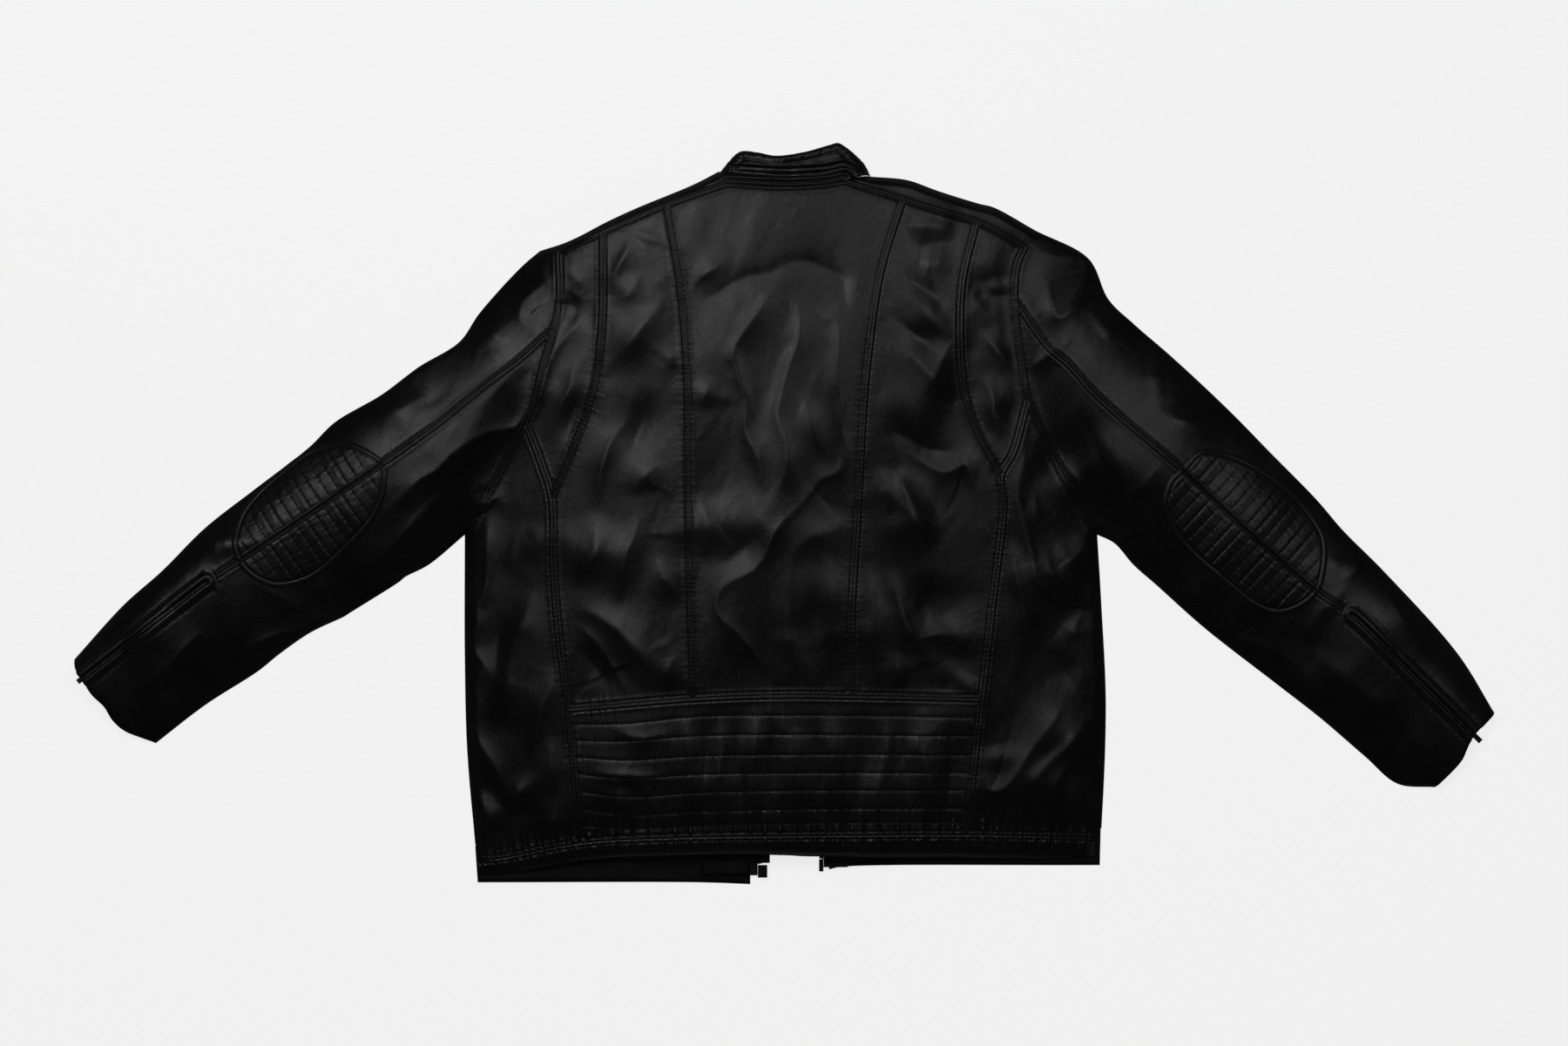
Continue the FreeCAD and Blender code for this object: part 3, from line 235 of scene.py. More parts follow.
# Folds: kind, then the line of the crest or of the valley.
FOLDS = [
    ('m', [
        (-93.5, 216.8), (-78.2, 232), (-45.9, 251.6)]),
    ('v', [
        (-93.5, 216.8), (-78.2, 209.1), (-34, 231.2), (8.5, 243.9), (24.6, 243.9), (51.9, 233.8),
        (59.5, 209.1), (62, 183.6)]),
    ('m', [
        (4.2, 223.5), (-16.1, 209.1), (-38.2, 174.2), (-45.9, 158.9), (-43.4, 134.3),
        (-35.7, 104.5), (-34.9, 79), (-23.8, 51.9), (-16.1, 17)]),
    ('m', [
        (6.8, 223.5), (13.6, 198.9), (16.1, 171.7), (4.2, 144.5), (-3.4, 119), (-6, 91.8),
        (4.2, 59.5), (1.7, 39.1), (-11, 14.4)]),
    ('t', [
        (29.8, 211.7), (37.4, 193.8), (50.1, 186.2), (53.5, 164), (51, 134.3), (53.5, 108.8),
        (55.2, 84.1), (56.9, 41.6), (37.4, 34), (22.1, 17), (-6, -20.4), (-18.7, -40.8),
        (-30.6, -55.2), (-58.6, -70.5), (-63.8, -82.5), (-61.2, -97.8), (-43.4, -118.1),
        (-28.9, -137.7), (-18.7, -154.7), (-21.2, -169.2)]),
    ('t', [
        (16.1, 119), (21.2, 94.3), (31.4, 68.8)]),
    ('t', [
        (22.1, 119), (27.2, 84.1), (39.9, 59.5), (50.1, 46.8)]),
    ('m', [
        (-70.5, 134.3), (-78.2, 113.9), (-80.8, 99.5)]),
    ('b', [
        (67.1, 4.2), (55.2, -10.2), (27.2, -22.9), (12.8, -35.7), (8.5, -47.6), (6, -78.2),
        (5.1, -102.8), (7.6, -140.2), (10.2, -170)]),
    ('b', [
        (37.4, -30.6), (39.9, -52.7), (42.5, -78.2), (45.9, -102.8), (48.4, -127.5),
        (47.6, -145.3), (52.7, -164.9)]),
    ('b', [
        (-85, 26.3), (-74.8, -16.1), (-79.9, -50.1)]),
    ('vb', [
        (-17, -7.6), (-42.5, -41.6), (-68, -50.1)]),
    ('vb', [
        (25.5, -58.6), (25.5, -109.6), (28.9, -160.7)]),
    ('w', [
        (-91, -180.2), (-93.5, -220.2), (-87.5, -262.6), (-93.5, -305.1)]),
    ('w', [
        (-63.8, -184.4), (-59.5, -228.7), (-64.6, -266.9), (-57.8, -306.8)]),
    ('w', [
        (-30.6, -180.2), (-27.2, -220.2), (-33.1, -262.6), (-28.9, -307.7)]),
    ('w', [
        (4.2, -182.8), (10.2, -220.2), (12.8, -266.9), (17.8, -306.8)]),
    ('w', [
        (49.3, -180.2), (44.2, -228.7), (51, -266.9), (55.2, -309.4)]),
    ('w', [
        (93.5, -186.2), (98.6, -228.7), (91.8, -266.9), (95.2, -305.1)]),
    ('w', [
        (139.4, -182.8), (134.3, -220.2), (141.1, -262.6), (148.8, -305.1)]),
    ('wv', [
        (-77.3, -187.8), (-76.5, -220.2), (-78.2, -266.9), (-76.5, -303.4)]),
    ('wv', [
        (-45.9, -187.8), (-47.6, -220.2), (-44.2, -266.9), (-47.6, -303.4)]),
    ('wv', [
        (-11.9, -187.8), (-9.3, -220.2), (-14.4, -266.9), (-9.3, -303.4)]),
    ('wv', [
        (30.6, -187.8), (28.1, -220.2), (33.1, -266.9), (28.1, -303.4)]),
    ('wv', [
        (73.1, -187.8), (74.8, -220.2), (71.4, -266.9), (74.8, -303.4)]),
    ('wv', [
        (117.3, -187.8), (115.6, -220.2), (119, -266.9), (115.6, -303.4)]),
    ('wv', [
        (163.2, -187.8), (165.8, -220.2), (160.7, -266.9), (165.8, -303.4)]),
    ('m', [
        (-192.9, -245.7), (-170, -254.2), (-119, -254.2), (-112.2, -266.9)]),
    ('m', [
        (-170, -254.2), (-157.2, -275.4), (-170, -296.6)]),
    ('v', [
        (-178.5, -262.6), (-153, -266.9), (-127.5, -262.6)]),
    ('m', [
        (-170, -207.4), (-136, -215.9), (-110.5, -207.4)]),
    ('t', [
        (-144.5, -245.7), (-131.8, -275.4), (-119, -300.9)]),
    ('m', [
        (-142.8, 283.9), (-150.4, 258.4), (-160.7, 236.3), (-168.3, 209.1)]),
    ('b', [
        (-125.8, 279.6), (-132.6, 264.3)]),
    ('m', [
        (-136, 236.3), (-150.4, 214.2), (-165.8, 198.9)]),
    ('b', [
        (-110.5, 214.2), (-128.3, 191.2), (-145.3, 171.7), (-165.8, 151.3), (-177.7, 136.8)]),
    ('t', [
        (-120.7, 233.8), (-130.9, 216.8)]),
    ('m', [
        (-102.8, 158.9), (-115.6, 141.9)]),
    ('m', [
        (-145.3, 102), (-160.7, 86.7), (-170.8, 62), (-177.7, 34), (-182.8, -0.8)]),
    ('m', [
        (-115.6, 51.9), (-137.7, 34), (-142.8, 14.4)]),
    ('m', [
        (-140.2, 9.3), (-147.9, -20.4), (-155.5, -45.9), (-160.7, -73.1), (-168.3, -90.1)]),
    ('b', [
        (-180.2, 4.2), (-185.3, -25.5), (-192.9, -52.7), (-200.6, -75.6)]),
    ('m', [
        (-123.2, -35.7), (-113, -65.5), (-100.3, -87.5)]),
    ('t', [
        (-210.8, -102.8), (-190.4, -118.1), (-175.1, -137.7), (-160.7, -162.3), (-142.8, -177.7)]),
    ('b', [
        (-210.8, -95.2), (-185.3, -97.8), (-165.8, -110.5), (-147.9, -127.5), (-136, -140.2),
        (-136, -175.1)]),
    ('t', [
        (-108, -118.1), (-125.8, -135.2)]),
    ('m', [
        (-98.6, -130), (-113, -150.4), (-117.3, -175.1)]),
    ('vb', [
        (-131.8, 128.3), (-140.2, 77.3), (-146.2, 43.4)]),
    ('v', [
        (-204, -122.4), (-182.8, -152.2), (-170, -173.4)]),
    ('t', [
        (-215, 243.9), (-205.7, 233.8), (-190.4, 221)]),
    ('t', [
        (-215, 221), (-187.8, 209.1)]),
    ('m', [
        (-187.8, 206.5), (-205.7, 181), (-220.2, 164), (-230.3, 144.5), (-238, 121.5),
        (-240.5, 102)]),
    ('m', [
        (-190.4, 171.7), (-198, 156.4), (-205.7, 141.9), (-210.8, 124.1), (-217.6, 111.3),
        (-225.2, 89.2), (-232.9, 69.7)]),
    ('vb', [
        (-212.5, 221.8), (-204, 204.8), (-214.2, 186.2)]),
    ('v', [
        (-197.2, 128.3), (-208.2, 94.3), (-216.8, 60.4)]),
    ('m', [
        (-227.8, 249), (-243.1, 241.4), (-252.4, 228.7)]),
    ('m', [
        (-225.2, 236.3), (-240.5, 223.5), (-255, 209.1), (-257.6, 193.8), (-248.2, 183.6),
        (-235.4, 186.2)]),
    ('m', [
        (-300.1, 193.8), (-285.6, 179.3), (-270.3, 164)]),
    ('t', [
        (-289.8, 164), (-280.5, 146.2)]),
    ('b', [
        (-276.2, 136.8), (-265.2, 123.2)]),
    ('T', [
        (-232.9, 169.2), (-235.4, 144.5), (-238, 121.5), (-245.7, 104.5), (-260.1, 86.7),
        (-283.1, 83.3), (-302.6, 71.4), (-323, 56.9), (-340, 41.6), (-349.3, 35.7), (-374, 14.4),
        (-395.2, -6.8)]),
    ('m', [
        (-264.3, 72.2), (-294.9, 60.4), (-319.6, 42.5), (-334.9, 23.8), (-352.8, 2.5),
        (-379.9, -30.6), (-404.6, -51.9), (-431.8, -53.5)]),
    ('vb', [
        (-255, 77.3), (-280.5, 67.1), (-306, 51.9), (-327.2, 33.1), (-357, 9.3), (-382.5, -16.1)]),
    ('b', [
        (-549.9, 0), (-555.9, -24.6), (-553.4, -51.9)]),
    ('m', [
        (-542.3, -3.4), (-544, -42.5)]),
    ('t', [
        (-580.5, -55.2), (-590.8, -65.5)]),
    ('t', [
        (-526.1, -61.2), (-501.5, -76.5), (-476.8, -91.8), (-474.3, -76.5)]),
    ('m', [
        (-532.1, -127.5), (-501.5, -121.5), (-470.9, -109.6), (-449.6, -97.8), (-428.4, -94.3)]),
    ('t', [
        (-449.6, -57.8), (-449.6, -88.4)]),
    ('m', [
        (-383.3, -51.9), (-404.6, -73.1)]),
    ('t', [
        (-441.1, -50.1), (-439.4, -84.1)]),
    ('b', [
        (-340, 128.3), (-374, 102.8), (-408, 81.6)]),
    ('v', [
        (-323, 128.3), (-357, 109.6), (-382.5, 94.3)]),
    ('b', [
        (-586.5, -84.1), (-620.5, -118.1), (-654.5, -147.9)]),
    ('m', [
        (-561, -109.6), (-595, -143.7), (-629, -177.7)]),
    ('v', [
        (-548.2, -130.9), (-582.2, -160.7), (-612, -186.2)]),
    ('m', [
        (-484.5, -109.6), (-518.5, -130.9), (-552.5, -152.2)]),
    ('m', [
        (-289.8, 54.4), (-292.4, 34), (-302.6, 22.1), (-297.5, 9.3), (-280.5, 14.4),
        (-287.3, -5.1)]),
    ('m', [
        (-283.1, 9.3), (-289, -6), (-289.8, -28.1), (-292.4, -52.7), (-297.5, -83.3),
        (-302.6, -92.6), (-301.8, -110.5), (-302.6, -132.6), (-294.1, -147.9), (-302.6, -164.9),
        (-300.1, -194.7), (-297.5, -222.7), (-284.8, -244.8), (-267.8, -269.4), (-255, -292.4)]),
    ('t', [
        (-238, -15.3), (-255, -15.3), (-265.2, -40.8), (-270.3, -62.9)]),
    ('t', [
        (-235.4, -6), (-245.7, -28.1), (-257.6, -43.4)]),
    ('b', [
        (-245.7, -62.9), (-252.4, -97.8), (-270.3, -153), (-275.4, -185.3), (-277.9, -215)]),
    ('m', [
        (-225.2, -137.7), (-230.3, -170), (-238, -190.4), (-241.4, -220.2), (-243.9, -252.4)]),
    ('m', [
        (-222.7, -212.5), (-225.2, -239.7), (-226.9, -277.1)]),
    ('vb', [
        (-307.7, -237.2), (-284.8, -266.9), (-263.5, -289.8), (-255, -303.4)]),
    ('b', [
        (-267.8, -254.2), (-255, -272.8), (-244.8, -288.1)]),
    ('b', [
        (-300.9, -266.9), (-289.8, -289.8), (-278.8, -311.9)]),
    ('m', [
        (-244.8, -306.8), (-229.5, -298.3), (-214.2, -305.1)]),
    ('v', [
        (-263.5, -75.6), (-276.2, -126.6), (-287.3, -177.7)]),
    ('b', [
        (115.6, 276.2), (144.5, 279.6), (174.2, 274.6)]),
    ('v', [
        (117.3, 255.8), (144.5, 260.9), (174.2, 263.5)]),
    ('b', [
        (127.5, 245.7), (148.8, 242.2), (169.2, 236.3)]),
    ('v', [
        (109.6, 238.8), (139.4, 216.8), (162.3, 191.2)]),
    ('b', [
        (104.5, 214.2), (129.2, 204), (149.6, 183.6), (169.2, 169.2)]),
    ('v', [
        (99.5, 198.9), (125, 176.8), (154.7, 143.7)]),
    ('b', [
        (102, 171.7), (129.2, 143.7), (154.7, 124.1), (171.7, 113.9)]),
    ('B', [
        (95.2, 128.3), (127.5, 102.8), (165.8, 90.1)]),
    ('v', [
        (85, 67.1), (112.2, 76.5), (134.3, 67.1), (162.3, 62), (184.4, 67.1)]),
    ('m', [
        (112.2, 64.6), (129.2, 54.4), (157.2, 41.6), (174.2, 49.3), (184.4, 34), (194.7, 11.9)]),
    ('m', [
        (90.1, 44.2), (96.9, 22.1), (102, -3.4)]),
    ('m', [
        (107.1, 41.6), (117.3, 19.6), (131.8, -3.4)]),
    ('B', [
        (85, -16.1), (123.2, -11.9), (161.5, 0.8)]),
    ('b', [
        (93.5, 26.3), (148.8, -28.9)]),
    ('m', [
        (79.9, -43.4), (82.5, -85), (87.5, -127.5), (92.6, -164.9)]),
    ('m', [
        (99.5, -45.9), (109.6, -75.6), (115.6, -102.8), (134.3, -127.5), (149.6, -153)]),
    ('m', [
        (107.1, -130), (109.6, -153), (117.3, -170)]),
    ('b', [
        (157.2, -92.6), (168.3, -113.9), (163.2, -140.2)]),
    ('v', [
        (141.1, -152.2), (152.2, -171.7), (165.8, -156.4)]),
    ('m', [
        (188.7, -157.2), (171.7, -179.3)]),
    ('vb', [
        (136, -50.1), (140.2, -84.1), (148.8, -118.1)]),
    ('m', [
        (206.5, 233.8), (211.7, 209.1)]),
    ('m', [
        (184.4, 183.6), (199.8, 169.2), (216.8, 148.8), (232, 131.8)]),
    ('m', [
        (184.4, 141.9), (199.8, 124.1), (206.5, 96.9), (210.8, 67.1)]),
    ('t', [
        (184.4, 209.1), (197.2, 196.3)]),
    ('vb', [
        (188.7, 247.3), (193.8, 221.8), (204, 192.1)]),
    ('v', [
        (212.5, 128.3), (221, 102.8), (223.5, 77.3)]),
    ('m', [
        (239.7, 268.6), (254.2, 258.4), (281.3, 255), (294.1, 251.6), (297.5, 236.3),
        (281.3, 214.2), (277.1, 198.9)]),
    ('m', [
        (239.7, 236.3), (254.2, 228.7), (259.2, 209.1), (266.9, 191.2), (286.4, 201.4),
        (314.5, 211.7)]),
    ('t', [
        (234.6, 198.9), (246.5, 183.6)]),
    ('m', [
        (281.3, 171.7), (264.3, 158.9), (237.2, 134.3)]),
    ('m', [
        (326.4, 188.7), (311.9, 171.7)]),
    ('b', [
        (353.6, 131.8), (373.1, 133.4)]),
    ('b', [
        (361.2, 106.2), (391.8, 87.5), (430.9, 72.2)]),
    ('t', [
        (229.5, 151.3), (234.6, 131.8), (239.7, 113.9), (249, 94.3), (256.7, 68.8)]),
    ('T', [
        (257.6, 68.8), (273.7, 51.9), (287.3, 33.1), (302.6, 5.1)]),
    ('vb', [
        (246.5, 77.3), (263.5, 51.9), (278.8, 26.3)]),
    ('m', [
        (367.2, 51), (345.9, 23.8), (324.7, 23.8)]),
    ('m', [
        (361.2, -28.1), (364.6, -49.3)]),
    ('m', [
        (440.3, -100.3), (442.8, -121.5), (467.5, -130.9), (513.4, -152.2)]),
    ('m', [
        (388.4, -63.8), (419.1, -91.8)]),
    ('m', [
        (552.5, -28.1), (558.4, -51.9), (537.2, -67.1)]),
    ('t', [
        (549.1, -36.5), (527.9, -61.2)]),
    ('m', [
        (521.9, -85), (540.6, -100.3)]),
    ('b', [
        (583.1, -61.2), (610.3, -106.2), (634.1, -142.8)]),
    ('m', [
        (589, -231.2), (619.6, -246.5)]),
    ('t', [
        (561.9, -212.5), (585.6, -206.5)]),
    ('b', [
        (306, 94.3), (327.2, 51.9), (340, -7.6)]),
    ('v', [
        (289, 102.8), (307.7, 60.4), (323, 17.8)]),
    ('b', [
        (476, -126.6), (527, -173.4), (569.5, -207.4)]),
    ('b', [
        (510, -126.6), (561, -169.2), (612, -220.2)]),
    ('v', [
        (527, -152.2), (578, -198.9)]),
    ('m', [
        (237.2, 84.1), (232, 46.8), (232, -5.1), (239.7, -35.7), (249, -68), (264.3, -87.5),
        (274.6, -92.6)]),
    ('t', [
        (249, 27.2), (246.5, 14.4), (251.6, -6), (264.3, -12.8)]),
    ('m', [
        (243.9, -25.5), (256.7, -40.8), (259.2, -55.2), (278.8, -68), (299.2, -83.3),
        (304.3, -90.1), (294.1, -100.3)]),
    ('m', [
        (272, -105.4), (286.4, -115.6), (302.6, -113.9)]),
    ('m', [
        (216.8, -15.3), (224.4, -52.7), (232, -78.2), (239.7, -110.5), (254.2, -137.7)]),
    ('m', [
        (278.8, -182.8), (254.2, -209.9), (239.7, -230.3), (224.4, -255), (211.7, -266.9),
        (199.8, -269.4), (194.7, -249.9), (194.7, -222.7)]),
    ('m', [
        (206.5, -220.2), (206.5, -252.4)]),
    ('b', [
        (314.5, -187.8), (294.1, -207.4), (269.4, -230.3), (249, -255), (232, -279.6),
        (229.5, -294.9)]),
    ('m', [
        (309.4, -202.3), (289, -225.2), (274.6, -252.4), (261.8, -272), (249, -292.4)]),
    ('b', [
        (299.2, -252.4), (286.4, -284.8), (274.6, -302.6)]),
    ('t', [
        (219.3, -289.8), (221, -300.9)]),
    ('m', [
        (304.3, -269.4), (300.1, -300.1)]),
    ('v', [
        (263.5, -126.6), (276.2, -160.7), (284.8, -177.7)]),
    ('vb', [
        (276.2, -211.7), (255, -237.2), (238, -262.6)]),
    ('b', [
        (263.5, -24.6), (284.8, -50.1), (297.5, -67.1)]),
]
QUILTING = {
    'waist': [
        [(-208.2, -204.8), (-153, -203.2), (-85, -196.3), (0, -194.7), (85, -195.5), (190.4, -198)],
        [(-206.5, -220.2), (-153, -220.2), (-85, -215), (0, -213.3), (85, -214.2), (188.7, -215.9)],
        [(-205.7, -236.3), (-153, -238.8), (-85, -234.6), (0, -232.9), (85, -232.9), (186.2, -234.6)],
        [(-204.8, -252.4), (-153, -256.7), (-85, -252.4), (0, -250.8), (85, -250.8), (184.4, -251.6)],
        [(-203.2, -269.4), (-153, -274.6), (-85, -270.3), (0, -267.8), (85, -267.8), (182.8, -268.6)],
        [(-201.4, -286.4), (-153, -292.4), (-85, -289), (0, -286.4), (85, -285.6), (180.2, -286.4)],
        [(-199.8, -303.4), (-153, -306), (-85, -302.6), (0, -300.1), (85, -299.2), (178.5, -300.1)],
    ],
    'left_patch': [
        [(-399.8, 49.4), (-428.7, 92.4)],
        [(-395, 42.3), (-366, -0.7)],
        [(-408.6, 43.4), (-437.6, 86.4)],
        [(-403.8, 36.3), (-374.8, -6.6)],
        [(-417.5, 37.4), (-446.5, 80.3)],
        [(-412.8, 30.3), (-383.8, -12.7)],
        [(-426.4, 31.4), (-455.4, 74.4)],
        [(-421.7, 24.3), (-392.7, -18.7)],
        [(-435.3, 25.4), (-464.3, 68.3)],
        [(-430.6, 18.4), (-401.6, -24.6)],
        [(-444.2, 19.4), (-473.2, 62.4)],
        [(-439.4, 12.3), (-410.5, -30.7)],
        [(-453.1, 13.3), (-482.1, 56.4)],
        [(-448.4, 6.3), (-419.4, -36.6)],
        [(-462.1, 7.4), (-491, 50.4)],
        [(-457.3, 0.3), (-428.3, -42.7)],
        [(-470.9, 1.4), (-499.9, 44.4)],
        [(-466.1, -5.7), (-437.2, -48.7)],
        [(-479.8, -4.6), (-508.8, 38.3)],
        [(-475.1, -11.6), (-446.1, -54.7)],
        [(-488.8, -10.6), (-517.7, 32.4)],
        [(-484, -17.7), (-455, -60.7)],
        [(-497.6, -16.7), (-526.6, 26.4)],
        [(-492.9, -23.7), (-463.9, -66.6)],
        [(-506.5, -22.6), (-535.5, 20.4)],
        [(-501.8, -29.7), (-472.8, -72.7)],
        [(-515.4, -28.6), (-544.4, 14.4)],
        [(-510.7, -35.7), (-481.7, -78.6)],
        [(-524.4, -34.6), (-553.4, 8.3)],
        [(-519.6, -41.6), (-490.6, -84.7)],
        [(-533.2, -40.6), (-562.2, 2.4)],
        [(-528.4, -47.7), (-499.5, -90.7)],
    ],
    'right_patch': [
        [(391.1, 35.5), (356.4, -3)],
        [(396.8, 41.8), (431.5, 80.4)],
        [(399.1, 28.3), (364.4, -10.2)],
        [(404.8, 34.7), (439.4, 73.2)],
        [(407.1, 21.2), (372.4, -17.4)],
        [(412.8, 27.5), (447.4, 66)],
        [(415.1, 13.9), (380.4, -24.6)],
        [(420.8, 20.2), (455.4, 58.8)],
        [(423, 6.7), (388.4, -31.8)],
        [(428.7, 13.1), (463.4, 51.6)],
        [(431, -0.4), (396.4, -39)],
        [(436.7, 5.9), (471.4, 44.4)],
        [(439, -7.6), (404.3, -46.2)],
        [(444.7, -1.4), (479.4, 37.2)],
        [(447, -14.9), (412.3, -53.4)],
        [(452.7, -8.5), (487.4, 30)],
        [(455.1, -22.1), (420.4, -60.6)],
        [(460.8, -15.7), (495.5, 22.8)],
        [(463.1, -29.2), (428.4, -67.8)],
        [(468.8, -23), (503.5, 15.6)],
        [(471.1, -36.5), (436.4, -75)],
        [(476.8, -30.2), (511.4, 8.4)],
        [(479.1, -43.7), (444.4, -82.2)],
        [(484.8, -37.3), (519.4, 1.2)],
        [(487, -50.8), (452.4, -89.4)],
        [(492.7, -44.5), (527.4, -6)],
        [(495, -58.1), (460.4, -96.6)],
        [(500.7, -51.8), (535.4, -13.2)],
        [(503, -65.3), (468.4, -103.8)],
        [(508.7, -58.9), (543.4, -20.4)],
        [(511, -72.4), (476.3, -111)],
        [(516.7, -66.1), (551.4, -27.6)],
    ],
}
# Sleeve stations: upper edge, lower edge, where the ridge lies, height of the ridge.
STATIONS = {
    'left': [
        ((-178.5, 323.8), (-238, 36.5), 0.5, 27),
        ((-301.8, 200.6), (-374, -68.8), 0.5, 27),
        ((-469.2, 70.5), (-380.8, -70.5), 0.42, 25),
        ((-521.9, 29.8), (-433.5, -102), 0.36, 22),
        ((-613.7, -51), (-518.5, -157.2), 0.2965, 22),
        ((-712.3, -151.3), (-629, -238.8), 0.196, 22),
    ],
    'right': [
        ((199.8, 374.8), (233.8, 51), 0.5, 27),
        ((351.9, 191.2), (358.7, -68.8), 0.5, 27),
        ((480.2, 63.8), (367.2, -76.5), 0.447, 25),
        ((526.1, 15.3), (412.2, -114.8), 0.428, 22),
        ((605.2, -64.6), (491.3, -177.7), 0.3702, 22),
        ((726.8, -217.6), (633.2, -292.4), 0.2997, 22),
    ],
}
SHAPES = {   # kind: (how fast it falls off, height, how round the crest is) in millimetres
    "t": (7.5, 1.5, 0.8), "T": (12.0, 3.4, 1.1), "m": (13.0, 3.1, 1.3), "b": (20.0, 4.4, 3.5), "B": (32.0, 4.5, 14.0),
    "v": (9.0, -1.8, 2.6), "vb": (17.0, -3.4, 5.0), "w": (12.0, 3.6, 2.2), "wv": (10.0, -2.8, 3.5), "x": (6.0, 0.3, 0.8),
}


# ---------------------------------------------------------------- lines
def spline(ctrl, step=1.3, closed=False):
    """Centripetal curve through the points; returns its samples and where each point is."""
    p = np.array(ctrl, float)
    n = len(p)
    out, marks = [], []
    for i in range(n if closed else n - 1):
        p1, p2 = p[i], p[(i + 1) % n]
        p0 = p[i - 1] if closed or i > 0 else 2 * p1 - p2
        p3 = p[(i + 2) % n] if closed or i + 2 < n else 2 * p2 - p1
        t = [0.0]
        for a, b in ((p0, p1), (p1, p2), (p2, p3)):
            t.append(t[-1] + max(np.linalg.norm(b - a), 1e-6) ** 0.5)
        k = max(1, int(round(np.linalg.norm(p2 - p1) / step)))
        u = np.linspace(t[1], t[2], k, endpoint=False)[:, None]
        a1 = (t[1] - u) / (t[1] - t[0]) * p0 + (u - t[0]) / (t[1] - t[0]) * p1
        a2 = (t[2] - u) / (t[2] - t[1]) * p1 + (u - t[1]) / (t[2] - t[1]) * p2
        a3 = (t[3] - u) / (t[3] - t[2]) * p2 + (u - t[2]) / (t[3] - t[2]) * p3
        b1 = (t[2] - u) / (t[2] - t[0]) * a1 + (u - t[0]) / (t[2] - t[0]) * a2
        b2 = (t[3] - u) / (t[3] - t[1]) * a2 + (u - t[1]) / (t[3] - t[1]) * a3
        marks.append(len(out))
        out.extend((t[2] - u) / (t[2] - t[1]) * b1 + (u - t[1]) / (t[2] - t[1]) * b2)
    if not closed:
        marks.append(len(out))
        out.append(p[-1])
    return np.array(out), marks


def straight(a, b, step=1.3):
    flip = tuple(a) > tuple(b)
    p, q = (b, a) if flip else (a, b)
    k = max(1, int(round(np.linalg.norm(q - p) / step)))
    pts = p + (q - p) * (np.arange(k + 1) / k)[:, None]
    return pts[::-1] if flip else pts


LINES = {name: spline(ctrl) for name, ctrl in CURVES.items()}


def outline(parts):
    """Closed outline from stretches of the lines, with straight runs between them."""
    out = []

    def add(pts):
        for q in pts:
            if not out or np.linalg.norm(out[-1] - q) > 0.05:
                out.append(q)

    for name, i, j in parts:
        pts, marks = LINES[name]
        run = pts[marks[i]:marks[j] + 1] if i <= j else pts[marks[j]:marks[i] + 1][::-1]
        if out and np.linalg.norm(out[-1] - run[0]) > 0.05:
            add(straight(out[-1], run[0]))
        add(run)
    if np.linalg.norm(out[-1] - out[0]) > 0.05:
        add(straight(out[-1], out[0]))
    if np.linalg.norm(out[-1] - out[0]) <= 0.05:
        out.pop()
    pts = np.array(out)
    x, y = pts.T
    if np.sum(x * np.roll(y, -1) - np.roll(x, -1) * y) < 0:
        pts = pts[::-1]
    return pts


def inside(pts, loop):
    """Which points lie inside the closed outline."""
    res = np.zeros(len(pts), bool)
    x, y = pts[:, 0], pts[:, 1]
    lo, hi = loop.min(0), loop.max(0)
    box = (x >= lo[0]) & (x <= hi[0]) & (y >= lo[1]) & (y <= hi[1])
    x, y = x[box], y[box]
    hit = np.zeros(len(x), bool)
    a, b = loop, np.roll(loop, -1, 0)
    for (ax, ay), (bx, by) in zip(a, b):
        if ay == by:
            continue
        m = (ay > y) != (by > y)
        hit[m] ^= x[m] < (bx - ax) * (y[m] - ay) / (by - ay) + ax
    res[box] = hit
    return res


